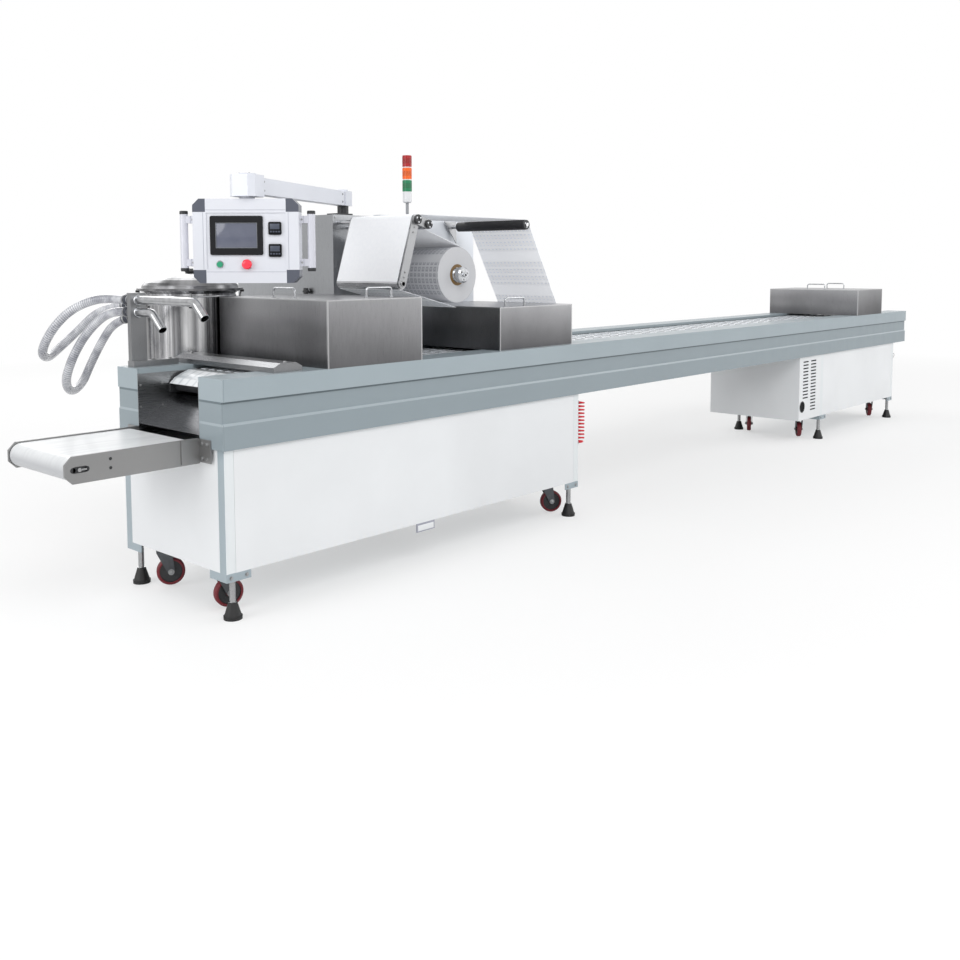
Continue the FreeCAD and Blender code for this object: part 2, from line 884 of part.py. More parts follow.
def caster_fork(name):
    """A pressed fork: swivel head, crown and two legs that taper down to the axle."""
    top = S.cabinet_bottom - 6 - S.top_plate_thick - S.seat_gap
    crown_top = top - S.swivel_height
    crown_low = crown_top - 6
    half = S.fork_gap / 2
    trail = S.fork_trail
    head = turned(name + "_head", [(0, crown_top), (S.swivel_radius - 6, crown_top),
                                   (S.swivel_radius, crown_top + 6), (S.swivel_radius, top - 4),
                                   (S.swivel_radius - 4, top), (0, top)])
    crown = box(name + "_crown", (-34, -half - S.fork_plate, crown_low),
                (68, S.fork_gap + 2 * S.fork_plate, 6))
    leg = [(-34, crown_low), (34, crown_low), (trail + 16, axle_height + 6),
           (trail + 10, axle_height - 10), (trail - 6, axle_height - 14), (trail - 15, axle_height - 4)]
    legs = [pad(name + "_left_leg", "XZ_Plane", leg, half, S.fork_plate),
            pad(name + "_right_leg", "XZ_Plane", leg, -half - S.fork_plate, S.fork_plate)]
    reach = half + S.fork_plate + 5
    axle = rod(name + "_axle", "y", (trail, -reach, axle_height), 2 * reach, S.axle_radius)
    return fuse(name, [head, crown, axle] + legs)


def caster_wheel(name):
    """A rubber tread on a dished core, bored for the axle."""
    half = S.wheel_width / 2
    bore = S.axle_radius + S.axle_play
    hub = S.hub_length / 2
    profile = [(bore, -hub), (S.hub_radius, -hub), (S.hub_radius, -half + 7),
               (S.core_radius, -half + 7), (S.core_radius, -half), (S.wheel_radius - 6, -half),
               (S.wheel_radius, -half + 6), (S.wheel_radius, half - 6), (S.wheel_radius - 6, half),
               (S.core_radius, half), (S.core_radius, half - 7), (S.hub_radius, half - 7),
               (S.hub_radius, hub), (bore, hub)]
    wheel = turned(name, profile)
    return laid(wheel, "y", S.fork_trail, 0, axle_height)


CASTERS = (
    # name, x of the swivel, front or rear, turn of the fork at rest
    ("left_front", S.left_cabinet_x + S.near_caster_inset, "front", -15),
    ("left_rear", S.left_cabinet_x + S.near_caster_inset, "rear", -28),
    ("left_far_front", left_cabinet_end - S.left_far_caster_inset, "front", -35),
    ("left_far_rear", left_cabinet_end - S.left_far_caster_inset, "rear", -24),
    ("right_front", right_cabinet_x - S.overhang_caster_reach, "front", 34),
    ("right_rear", right_cabinet_x - S.overhang_caster_reach, "rear", 27),
    ("right_far_front", right_cabinet_end - S.right_far_caster_inset, "front", 30),
    ("right_far_rear", right_cabinet_end - S.right_far_caster_inset, "rear", 22),
)


def caster_y(side):
    near = S.cabinet_setback + S.caster_inset
    return near if side == "front" else S.frame_width - near


def caster_plates(cabinet):
    """The square plates under a cabinet's floor on which its casters swivel."""
    plates = []
    long = S.top_plate_side
    for name, x, side, turn in CASTERS:
        if name.startswith(cabinet):
            plates.append(box(f"{name}_caster_plate",
                              (x - long / 2, caster_y(side) - long / 2,
                               S.cabinet_bottom - 6 - S.top_plate_thick),
                              (long, long, S.top_plate_thick + 6)))
    return plates


def casters():
    for name, x, side, turn in CASTERS:
        y = caster_y(side)
        frame_part(name + "_fork", [caster_fork(name + "_fork_form")], x=x, y=y, turn=size(turn))
        frame_part(name + "_wheel", [caster_wheel(name + "_wheel_form")], x=x, y=y, turn=size(turn))


# Covers over the stations

def cover(node, x, length, height, inset, rear):
    """A lift-off sheet cover over both beams, open below."""
    wall = S.sheet
    width = rear - inset
    outer = box(node + "_outer", (x, inset, S.beam_top), (length, width, height))
    inner = box(node + "_inner", (x + wall, inset + wall, S.beam_top - 1),
                (length - 2 * wall, width - 2 * wall, height - wall + 1))
    sub_part(node, cut(node + "_shell", outer, [inner]))


def rod_handle(name, x, y, z, along):
    """A bent rod with a round corner at each end, standing on a cover."""
    radius = S.handle_rod
    bend = S.handle_bend
    half = S.handle_length / 2
    rise = S.handle_height - bend - radius
    pieces = []
    for side, x_leg in (("near", -half), ("far", half)):
        pieces.append(rod(f"{name}_{side}_leg", "z", (x_leg, 0, 0), rise, radius))
        corner = new("Part::Torus", f"{name}_{side}_corner")
        corner.Angle3 = 90
        bind(corner, Radius1=bend, Radius2=radius)
        spin = Rotation(Vector(0, 0, 1), 90 if side == "near" else 0)
        corner.Placement = FreeCAD.Placement(
            Vector(), Rotation(Vector(1, 0, 0), 90).multiply(spin))
        put(corner, x_leg + (bend if side == "near" else -bend), 0, rise)
        pieces.append(corner)
    pieces.append(rod(f"{name}_bar", "x", (-half + bend, 0, rise + bend),
                      S.handle_length - 2 * bend, radius))
    handle = fuse(name, pieces)
    if along == "y":
        handle.Placement = FreeCAD.Placement(Vector(), Rotation(Vector(0, 0, 1), 90))
    put(handle, x, y, z)
    return handle


def cover_handles():
    middle = S.frame_width / 2
    top_a = S.beam_top + S.cover_a_height
    top_b = S.beam_top + S.cover_b_height
    top_c = S.beam_top + S.cover_c_height
    frame_part("cover_handles", [
        rod_handle("left_handle_near", S.cover_a_x + 80, middle, top_a, "y"),
        rod_handle("left_handle_far", S.cover_a_x + S.cover_a_length - 140, 150, top_a, "x"),
        rod_handle("middle_handle", S.cover_b_x + 178, S.cover_b_inset + 47, top_b, "x"),
        rod_handle("right_handle_near", cover_c_x + 64, middle, top_c, "y"),
        rod_handle("right_handle_far", cover_c_x + S.cover_c_length - 64, middle, top_c, "y")])


def cross_bar():
    """A shallow folded cover plate across both beams."""
    left = S.bar_x
    right = S.bar_x + S.bar_width
    low = S.beam_top
    edge = low + S.bar_edge
    top = low + S.bar_height
    section = [(left, low), (left, edge), (left + S.bar_bevel, top), (right - S.bar_bevel, top),
               (right, edge), (right, low)]
    sub_part("cross_bar", pad("cross_bar_body", "XZ_Plane", section, S.bar_inset,
                              S.frame_width - 2 * S.bar_inset + 20))


# Trim suction

def suction_post():
    """A folded post on a base block, with the two hose stubs on its rear face."""
    block = box("suction_block", (S.block_x, block_y, S.beam_top),
                (S.block_length, S.block_width, S.block_height))
    post_low = S.beam_top + S.block_height
    post = box("suction_upright", (S.post_x, post_y, post_low),
               (S.post_length, S.post_depth, S.post_top - post_low))
    rear = post_y + S.post_depth
    stubs = []
    for name, z in (("upper", S.upper_pipe_z), ("lower", S.lower_pipe_z)):
        stubs.append(rod(name + "_stub", "y", (S.pipe_x, rear, z), S.stub_length, S.stub_radius))
        stubs.append(rod(name + "_collar", "y", (S.pipe_x, rear, z), 8, S.stub_radius + 6))
    sub_part("suction_post", fuse("suction_fused", [block, post] + stubs))


def bent_pipe(name, z, run, tip):
    """A tube that leaves the post to the front and bends down to an open mouth."""
    bend = S.pipe_bend
    droop = S.pipe_droop
    corner_y = post_y - run
    skins = []
    for skin, radius in (("outer", S.pipe_radius), ("inner", S.pipe_radius - S.pipe_wall)):
        straight = rod(f"{name}_{skin}_straight", "y", (S.pipe_x, corner_y, z), run, radius)
        elbow = new("Part::Torus", f"{name}_{skin}_elbow")
        bind(elbow, Radius1=bend, Radius2=radius, Angle3=droop)
        elbow.Placement = FreeCAD.Placement(Vector(), TOWARDS["x"].multiply(HALF_TURN))
        put(elbow, S.pipe_x, corner_y, z - bend)
        end_y = corner_y - bend * sine(droop)
        end_z = z - bend + bend * cosine(droop)
        spout = new("Part::Cylinder", f"{name}_{skin}_spout")
        tilt = Rotation(Vector(1, 0, 0), 90 + float(droop))
        spout.Placement = FreeCAD.Placement(Vector(), tilt)
        bind(spout, Radius=radius, Height=tip)
        spout.setExpression("Placement.Rotation.Angle", f"90 + {droop.text}")
        put(spout, S.pipe_x, end_y, end_z)
        skins.append(fuse(f"{name}_{skin}", [straight, elbow, spout]))
    return cut(name, skins[0], [skins[1]])


def suction_pipes():
    frame_part("suction_pipes", [
        bent_pipe("upper_pipe", S.upper_pipe_z, S.upper_pipe_run, S.upper_pipe_tip),
        bent_pipe("lower_pipe", S.lower_pipe_z, S.lower_pipe_run, S.lower_pipe_tip)])


def barrel_body():
    """The waste barrel with its rolled rim, its two slanting inlets and its wall bracket."""
    low = S.barrel_bottom
    rim = S.barrel_rim
    shell = turned("barrel_shell", [(0, low), (S.barrel_radius - 8, low), (S.barrel_radius, low + 8),
                                    (S.barrel_radius, rim - 26), (S.barrel_radius + 8, rim - 20),
                                    (S.barrel_rim_radius - 10, rim - S.barrel_lip), (0, rim - S.barrel_lip)])
    put(shell, S.barrel_x, barrel_y, 0)
    inlets = []
    for name, route in (("upper", UPPER_HOSE), ("lower", LOWER_HOSE)):
        end = Vector(*route[-1])
        heading = (end - Vector(*route[-2])).normalize()
        mouth = end + heading * float(S.seat_gap)
        inlet = new("Part::Cylinder", name + "_inlet")
        inlet.Placement = FreeCAD.Placement(mouth, Rotation(Vector(0, 0, 1), heading))
        bind(inlet, Radius=S.stub_radius, Height=S.inlet_length)
        inlets.append(inlet)
    frame_part("barrel_body", [fuse("barrel_fused", [shell] + inlets), barrel_shelf()])


def barrel_lid():
    """The domed lid with a flat lip and a small knob on top."""
    low = S.barrel_rim - S.barrel_lip
    rim = S.barrel_rim
    steps = 8
    dome = []
    for step in range(steps + 1):
        angle = math.radians(90 * step / steps)
        dome.append((S.dome_radius * math.cos(angle), rim + S.dome_height * math.sin(angle)))
    dome[-1] = (S.knob_radius, rim + S.dome_height)
    profile = [(0, low), (S.barrel_rim_radius, low), (S.barrel_rim_radius, rim)] + dome
    profile += [(S.knob_radius, rim + S.dome_height + S.knob_height),
                (0, rim + S.dome_height + S.knob_height)]
    lid = turned("barrel_lid_form", profile)
    sub_part("barrel_lid", lid, x=S.barrel_x, y=barrel_y)


def barrel_shelf():
    """A shelf on two ribs, bolted to the back of the rear beam."""
    back = S.frame_width
    low = S.barrel_bottom - S.shelf_thick
    left = S.barrel_x - S.barrel_radius - 10
    width = 2 * S.barrel_radius + 20
    depth = barrel_y + S.barrel_radius + 10 - back
    pieces = [box("shelf_top", (left, back, low), (width, depth, S.shelf_thick)),
              box("shelf_back", (left, back, low - S.shelf_rib), (width, S.shelf_thick, S.shelf_rib))]
    for name, x in (("left", left + 30), ("right", left + width - 38)):
        rib = [(back, low - S.shelf_rib), (back + 60, low - S.shelf_rib), (back + depth, low - 20),
               (back + depth, low), (back, low)]
        pieces.append(pad(f"shelf_{name}_rib", "YZ_Plane", rib, x, S.shelf_thick))
    return fuse("shelf_fused", pieces)


# Electrical housing and the white panel behind the paper reel

def electrical_housing():
    """A floor-standing housing whose upper part steps forward over the rear beam."""
    step_y = S.frame_width + S.housing_step
    back = housing_front + S.housing_depth
    plinth = S.plinth_height

    def section(inset, rear):
        step = S.beam_top + inset
        return [(step_y + inset, plinth + inset), (step_y + inset, step), (housing_front + inset, step),
                (housing_front + inset, S.housing_top - inset), (rear, S.housing_top - inset),
                (rear, plinth + inset)]

    outer = pad("housing_outer", "YZ_Plane", section(0, back), S.housing_x, S.housing_length)
    inner = pad("housing_inner", "YZ_Plane", section(S.sheet, back + 1), S.housing_x + S.sheet,
                S.housing_length - 2 * S.sheet)
    shell = cut("housing_shell", outer, [inner])
    margin = S.plinth_inset
    base = box("housing_plinth", (S.housing_x + margin, step_y + margin, 0),
               (S.housing_length - 2 * margin, back - step_y - 2 * margin, plinth))
    door = box("housing_door_plate", (S.housing_x, back, plinth),
               (S.housing_length, S.door_thick, S.housing_top - plinth))
    frame_part("electrical_housing", [fuse("housing_fused", [shell, base]), door])


def rear_panel():
    """The white upright panel on the rear beam that carries the reel and the black roller."""
    left = S.housing_x + S.housing_length
    panel = box("rear_panel_plate", (left, housing_front, S.beam_top),
                (S.backing_end - left, S.frame_width - housing_front, S.backing_top - S.beam_top))
    frame_part("rear_panel", [panel, reel_bearing()])


# Paper path

def web_rollers():
    """The guide rollers and the black rubber roller on their shafts, with its gusset."""
    pieces = []
    back = housing_front
    front = S.web_front
    for name, x, z, radius, tail in (
            ("first", S.first_roller_x, S.first_roller_z, S.roller_radius, back),
            ("second", S.second_roller_x, S.second_roller_z, S.roller_radius, back),
            ("low", S.low_roller_x, S.low_roller_z, S.low_roller_radius, web_rear + 14),
            ("black", S.black_roller_x, S.black_roller_z, S.black_roller_radius, back)):
        body_length = web_width if name != "black" else web_width + 56
        shaft_start = front - 16
        pieces.append(fuse(f"{name}_roller", [
            rod(f"{name}_roller_body", "y", (x, front, z), body_length, radius),
            rod(f"{name}_roller_shaft", "y", (x, shaft_start, z), tail - shaft_start, S.shaft_radius)]))
    frame_part("web_rollers", pieces)


def roller_link(name, x_a, z_a, x_b, z_b, y):
    """A flat link with round ends round two shafts, bored with a little play."""
    run = math.hypot(float(x_b) - float(x_a), float(z_b) - float(z_a))
    across_x = (float(z_b) - float(z_a)) / run
    across_z = -(float(x_b) - float(x_a)) / run
    half = S.arm_plate_width / 2
    strip = [(x_a + half * across_x, z_a + half * across_z), (x_b + half * across_x, z_b + half * across_z),
             (x_b - half * across_x, z_b - half * across_z), (x_a - half * across_x, z_a - half * across_z)]
    plate = fuse(name + "_plate", [
        pad(name + "_strip", "XZ_Plane", strip, y, S.arm_plate),
        rod(name + "_end_a", "y", (x_a, y, z_a), S.arm_plate, half),
        rod(name + "_end_b", "y", (x_b, y, z_b), S.arm_plate, half)])
    bores = [rod(f"{name}_bore_{index}", "y", (x, y - 1, z), S.arm_plate + 2, S.shaft_radius + S.axle_play)
             for index, (x, z) in enumerate(((x_a, z_a), (x_b, z_b)))]
    return cut(name, plate, bores)


def dancer_arms():
    """The links at both ends of the guide rollers, and the bracket of the black roller."""
    near = S.web_front - 2 - S.arm_plate
    far = web_rear + 2
    first = (S.first_roller_x, S.first_roller_z)
    pieces = [
        roller_link("front_long_arm", *first, S.low_roller_x, S.low_roller_z, near),
        roller_link("rear_long_arm", *first, S.low_roller_x, S.low_roller_z, far),
        roller_link("front_short_arm", *first, S.second_roller_x, S.second_roller_z,
                    near - S.arm_plate),
    ]
    gusset = [(S.black_roller_x - 70, S.black_roller_z + 32), (S.black_roller_x + 30, S.black_roller_z + 32),
              (S.black_roller_x + 30, S.black_roller_z - 95)]
    plate = pad("gusset_body", "XZ_Plane", gusset, housing_front - 26, 6)
    spacer = box("gusset_spacer", (S.black_roller_x - 30, housing_front - 20, S.black_roller_z - 20),
                 (60, 20, 50))
    hole = rod("gusset_bore", "y", (S.black_roller_x, housing_front - 30, S.black_roller_z), 30,
               S.shaft_radius + S.axle_play)
    pieces.append(cut("black_roller_bracket", fuse("gusset_fused", [plate, spacer]), [hole]))
    frame_part("dancer_arms", pieces)


def tangent_strip(name, first, second):
    """Straight paper between two rollers, clear of both by the seat gap.

    A roller is its x, its z and its radius. The radius is positive where the roller lies to the
    right of the paper's run and negative where it lies to the left.
    """
    (x_a, z_a, radius_a), (x_b, z_b, radius_b) = first, second
    gap = S.seat_gap
    left_a = radius_a + gap + S.web_thick if float(radius_a) > 0 else radius_a - gap
    left_b = radius_b + gap + S.web_thick if float(radius_b) > 0 else radius_b - gap
    run_x = x_b - x_a
    run_z = z_b - z_a
    run = root(run_x * run_x + run_z * run_z)
    along = (left_a - left_b) / run
    across = root(1 - along * along)
    normal_x = (run_x * along - run_z * across) / run
    normal_z = (run_z * along + run_x * across) / run
    corners = []
    for x, z, reach in ((x_a, z_a, left_a), (x_b, z_b, left_b), (x_b, z_b, left_b - S.web_thick),
                        (x_a, z_a, left_a - S.web_thick)):
        corners.append((x + normal_x * reach, z + normal_z * reach))
    return pad(name, "XZ_Plane", corners, S.web_front, web_width)


def wrap(name, centre_x, centre_z, radius, quadrants):
    """The paper where it lies round a roller: a ring less the part where it has left it."""
    gap = S.seat_gap
    outer = rod(name + "_outer", "y", (centre_x, S.web_front, centre_z), web_width,
                radius + gap + S.web_thick)
    inner = rod(name + "_inner", "y", (centre_x, S.web_front - 1, centre_z), web_width + 2,
                radius + gap)
    reach = radius + gap + S.web_thick + 1
    away = []
    for index, (side, level) in enumerate(quadrants):
        away.append(box(f"{name}_away_{index}",
                        (centre_x if side > 0 else centre_x - reach, S.web_front - 2,
                         centre_z if level > 0 else centre_z - reach),
                        (reach, web_width + 4, reach)))
    return cut(name, outer, [inner] + away)


def paper_web():
    """The paper in the stretches that show, from the reel over the rollers to the bed."""
    first = (S.first_roller_x, S.first_roller_z)
    low = (S.low_roller_x, S.low_roller_z)
    black = (S.black_roller_x, S.black_roller_z)
    upright = tangent_strip("web_upright", (*low, S.low_roller_radius), (*first, S.roller_radius))
    top = tangent_strip("web_top", (*first, S.roller_radius), (*black, S.black_roller_radius))
    foot = (S.web_foot_x, S.film_level + S.film_thick + S.web_thick + 1.5, size(0.5))
    slope = tangent_strip("web_slope", (*black, S.black_roller_radius), foot)
    turns = [wrap("web_first_turn", *first, S.roller_radius, ((1, 1), (1, -1), (-1, -1))),
             wrap("web_black_turn", *black, S.black_roller_radius, ((-1, 1), (-1, -1), (1, -1)))]
    upper = fuse("web_upper", [upright, top, slope] + turns)
    feed = tangent_strip("web_feed", (S.second_roller_x, S.second_roller_z, -S.roller_radius),
                         (S.reel_x, S.reel_z, S.reel_radius + S.seat_gap))
    under = (S.reel_x - 10, S.reel_z - S.reel_radius - 20, size(-2))
    strip = tangent_strip("web_low_strip", (*low, -S.low_roller_radius), under)
    frame_part("paper_web", [upper, feed, strip])


def paper_reel():
    """The wound paper on its core."""
    profile = [(S.core_bore, 0), (S.reel_radius - 2, 0), (S.reel_radius, 2),
               (S.reel_radius, web_width - 2), (S.reel_radius - 2, web_width),
               (S.core_bore, web_width)]
    paper = laid(turned("reel_form", profile), "y", S.reel_x, S.web_front, S.reel_z)
    frame_part("paper_reel", [paper])


def reel_chuck():
    """The shaft with its front chuck, which carries the core."""
    front = S.web_front - S.chuck_reach
    profile = [(0, front), (10, front), (12, front + 3), (12, front + 10), (S.chuck_radius - 6, front + 10),
               (S.chuck_radius, front + 16), (S.chuck_radius, front + 40),
               (S.reel_shaft_radius + 6, front + 44), (S.reel_shaft_radius + 6, S.web_front - 0.3),
               (S.core_bore - 0.3, S.web_front - 0.3), (S.core_bore - 0.3, web_rear + 0.3),
               (S.core_outer, web_rear + 0.3), (S.core_outer, web_rear + 10),
               (S.reel_shaft_radius, web_rear + 10), (S.reel_shaft_radius, housing_front - 6),
               (0, housing_front - 6)]
    shaft = laid(turned("chuck_form", profile), "y", S.reel_x, 0, S.reel_z)
    frame_part("reel_chuck", [shaft])


def reel_bearing():
    """The bearing on the face of the housing in which the reel's shaft turns."""
    ring = rod("bearing_ring", "y", (S.reel_x, housing_front - S.bearing_depth, S.reel_z),
               S.bearing_depth, S.bearing_radius)
    bore = rod("bearing_bore", "y", (S.reel_x, housing_front - S.bearing_depth - 1, S.reel_z),
               S.bearing_depth - 3, S.reel_shaft_radius + S.axle_play)
    return cut("bearing_cut", ring, [bore])


# Stack light

def stack_light():
    y = (housing_front + S.frame_width) / 2
    z = S.backing_top
    pole = rod("light_pole", "z", (S.light_x, y, z + 6), S.light_pole_height - 6, S.light_pole_radius)
    foot = rod("light_foot", "z", (S.light_x, y, z), 6, 20)
    base_low = z + S.light_pole_height
    profile = [(0, base_low), (S.light_radius - 6, base_low), (S.light_radius, base_low + 6),
               (S.light_radius, base_low + S.light_base_height), (0, base_low + S.light_base_height)]
    base = turned("light_base_form", profile)
    put(base, S.light_x, y, 0)
    low = base_low + S.light_base_height
    lenses = []
    for index, name in enumerate(("green", "amber", "red")):
        start = low + (S.lens_height + S.lens_gap) * index
        disc = rod(f"{name}_seat", "z", (S.light_x, y, start), S.lens_gap, S.light_radius - 2)
        glass = rod(f"{name}_glass", "z", (S.light_x, y, start + S.lens_gap), S.lens_height,
                    S.light_radius)
        lenses.append(fuse(f"{name}_lens", [disc, glass]))
    frame_part("stack_light", [fuse("light_fused", [foot, pole, base])] + lenses)


# Operator panel on its arm

def arm_base():
    """The dark plate and the neck on the housing's top corner, under the arm."""
    low = S.housing_top
    plate = box("arm_base_plate", (S.pivot_x - S.base_plate_left, pivot_y - S.base_plate_front, low),
                (S.base_plate_length, S.base_plate_width, S.base_plate_thick))
    top = S.arm_low - S.seat_gap
    neck = rod("arm_neck", "z", (S.pivot_x, pivot_y, low + S.base_plate_thick),
               top - low - S.base_plate_thick, S.pivot_radius)
    sub_part("arm_base", fuse("arm_base_fused", [plate, neck]))


def panel_arm():
    """The box beam with its pivot block, and the head above the panel."""
    half = S.arm_width / 2
    reach = S.arm_reach
    top = S.arm_low + S.arm_height
    lip = S.block_lip
    beam = box("arm_beam", (0, -half, S.arm_low), (reach - S.head_overlap, S.arm_width, S.arm_height))
    block = box("arm_block", (-S.block_back, -half - lip, S.arm_low),
                (S.block_span, S.arm_width + 2 * lip, S.arm_height + lip))
    side = S.head_half
    trim = S.head_trim
    cut_off = S.head_cut
    head = [(reach - side, -side + trim), (reach - side, side - trim), (reach - side + trim, side),
            (reach + side - cut_off, side), (reach + side, side - cut_off),
            (reach + side, -side + cut_off), (reach + side - cut_off, -side),
            (reach - side + trim, -side)]
    head_block = pad("arm_head_body", "XY_Plane", head, S.head_low, S.head_top - S.head_low)
    arm = fuse("arm_fused", [beam, block, head_block])
    frame_part("panel_arm", [arm], x=S.pivot_x, y=pivot_y, turn=S.arm_turn)


def at_panel(node, items):
    frame_part(node, items, x=head_x, y=head_y, turn=S.panel_turn)


def panel_housing():
    """The panel's box, notched at its four corners, with a sunk face and two button pockets."""
    half_width = S.panel_width / 2
    half_depth = S.panel_depth / 2
    low = S.panel_low
    top = S.panel_low + S.panel_height
    inner = half_width - S.corner_width
    notch = S.corner_height
    section = [(-inner, low), (inner, low), (inner, low + notch), (half_width, low + notch),
               (half_width, top - notch), (inner, top - notch), (inner, top), (-inner, top),
               (-inner, top - notch), (-half_width, top - notch), (-half_width, low + notch),
               (-inner, low + notch)]
    box_body = pad("panel_body", "XZ_Plane", section, -half_depth, S.panel_depth)
    neck = rod("panel_neck", "z", (0, 0, top), S.head_low - S.seat_gap - top, S.neck_radius)
    rim = S.face_rim
    sunk = box("panel_sunk", (rim - inner, -half_depth - 1, low + notch + rim),
               (2 * (inner - rim), S.face_recess + 1, S.panel_height - 2 * (notch + rim)))
    z = panel_middle + S.button_z
    pockets = []
    for name, x, radius in (("start", S.start_x, S.start_radius), ("stop", S.stop_x, S.stop_radius)):
        pockets.append(rod(name + "_pocket", "y", (x, -half_depth - 1, z),
                           S.face_recess + S.button_pocket + 1, radius + S.button_play))
    shell = cut("panel_cut", fuse("panel_fused", [box_body, neck]), [sunk] + pockets)
    at_panel("panel_housing", [shell] + panel_corners())


def panel_corners():
    """The four dark corner pieces with their outer corners cut off."""
    half_width = S.panel_width / 2
    low = S.panel_low
    top = S.panel_low + S.panel_height
    pieces = []
    for name, side, edge, inward in (("low_left", -1, low, 1), ("low_right", 1, low, 1),
                                     ("top_left", -1, top, -1), ("top_right", 1, top, -1)):
        outer = side * half_width
        inner = side * (half_width - S.corner_width)
        section = [(inner, edge), (outer - side * S.corner_cut, edge),
                   (outer, edge + inward * S.corner_cut), (outer, edge + inward * S.corner_height),
                   (inner, edge + inward * S.corner_height)]
        pieces.append(pad(name + "_corner_body", "XZ_Plane", section, -S.panel_depth / 2, S.panel_depth))
    return pieces


def face_plate(name, x, z, width, height, thick, face):
    """A plate with cut corners that stands on the panel's face."""
    left = x - width / 2
    right = x + width / 2
    low = z - height / 2
    top = z + height / 2
    trim = 5
    section = [(left + trim, low), (right - trim, low), (right, low + trim), (right, top - trim),
               (right - trim, top), (left + trim, top), (left, top - trim), (left, low + trim)]
    return pad(name, "XZ_Plane", section, face - thick, thick)


def panel_instruments():
    """The screen with its bezel and the two square controllers."""
    face = -S.panel_depth / 2 + S.face_recess
    bezel = face_plate("screen_bezel", S.bezel_x, panel_middle + S.bezel_z, S.bezel_width,
                       S.bezel_height, S.bezel_thick, face)
    glass = box("screen_window", (S.bezel_x - 89, face - S.bezel_thick - 1,
                                  panel_middle + S.bezel_z - 53), (178, 3, 106))
    pieces = [cut("screen", bezel, [glass])]
    for name, z in (("upper", S.dial_upper_z), ("lower", S.dial_lower_z)):
        pieces.append(face_plate(f"{name}_controller", S.dial_x, panel_middle + z, S.dial_side,
                                 S.dial_side, S.dial_thick, face))
    at_panel("panel_instruments", pieces)


def panel_handles():
    """A grip tube on two lugs at each side of the panel."""
    half_width = S.panel_width / 2
    pieces = []
    for name, side in (("left", -1), ("right", 1)):
        reach = S.grip_reach * side
        tube = rod(f"{name}_grip", "z", (reach, 0, panel_middle - S.grip_length / 2), S.grip_length,
                   S.grip_radius)
        parts = [tube]
        lug_length = S.grip_reach - half_width
        for level, z in (("low", -S.lug_offset), ("high", S.lug_offset)):
            lug_x = half_width if side > 0 else -S.grip_reach
            parts.append(box(f"{name}_{level}_lug",
                             (lug_x, -S.lug_depth / 2, panel_middle + z - S.lug_height / 2),
                             (lug_length, S.lug_depth, S.lug_height)))
        pieces.append(fuse(f"{name}_handle", parts))
    at_panel("panel_handles", pieces)


def panel_buttons():
    """The green push button and the red mushroom button."""
    face = -S.panel_depth / 2 + S.face_recess
    z = panel_middle + S.button_z
    start = rod("start_form", "y", (S.start_x, face - S.start_reach, z),
                S.start_reach + S.button_seat, S.start_radius)
    at_panel("start_button", [start])
    stem = rod("stop_stem", "y", (S.stop_x, face - S.stop_reach, z),
               S.stop_reach + S.button_seat, S.stop_radius)
    profile = [(0, 0), (S.mushroom_radius, 0), (S.mushroom_radius, 5), (S.mushroom_radius - 4, 10),
               (S.mushroom_radius - 12, S.mushroom_thick), (0, S.mushroom_thick)]
    head = turned("stop_head", profile)
    head.Placement = FreeCAD.Placement(Vector(), Rotation(Vector(1, 0, 0), 90))
    put(head, S.stop_x, face - S.stop_reach, z)
    at_panel("stop_button", [fuse("stop_fused", [stem, head])])


# Hoses and coiled air lines

def tube_along(points, radius):
    """A round tube along straight runs joined by the largest arcs that the runs allow."""
    points = [Vector(*point) for point in points]
    edges = []
    start = points[0]
    radii = []
    for before, corner, after in zip(points, points[1:], points[2:]):
        inward = (before - corner).normalize()
        outward = (after - corner).normalize()
        turn = math.pi - inward.getAngle(outward)
        shorter = min((before - corner).Length, (after - corner).Length)
        back = 0.45 * shorter
        arc_radius = back / math.tan(turn / 2)
        radii.append(arc_radius)
        entry = corner + inward * back
        leave = corner + outward * back
        sag = arc_radius / math.cos(turn / 2) - arc_radius
        middle = corner + (inward + outward).normalize() * sag
        edges.append(Part.LineSegment(start, entry).toShape())
        edges.append(Part.Arc(entry, middle, leave).toShape())
        start = leave
    edges.append(Part.LineSegment(start, points[-1]).toShape())
    path = Part.Wire(edges)
    direction = points[1] - points[0]
    ring = Part.Wire([Part.makeCircle(radius, points[0], direction)])
    tube = path.makePipeShell([ring], True, True)
    expected = math.pi * radius * radius * path.Length
    print(f"length {path.Length:.0f}, smallest arc {min(radii):.0f}, "
          f"volume share {tube.Volume / expected:.4f}")
    return tube


def cord(node, points, radius):
    item = new("Part::Feature", node + "_form")
    item.Shape = tube_along(points, float(radius))
    sub_part(node, item)


def hoses():
    cord("upper_hose", UPPER_HOSE, S.hose_radius)
    cord("lower_hose", LOWER_HOSE, S.hose_radius)


def air_lines():
    """Coiled air lines at the cabinets' right ends, and the regulator above the short one."""
    coil_x = left_cabinet_end + S.coil_radius + S.seat_gap
    coil = rod("air_coil_form", "z", (coil_x, S.coil_y, S.coil_low), S.coil_top - S.coil_low,
               S.coil_radius)
    short = rod("short_coil_form", "z", (regulator_x, S.regulator_y, S.short_coil_low),
                S.short_coil_top - S.short_coil_low, S.short_coil_radius)
    frame_part("air_coils", [coil, short])


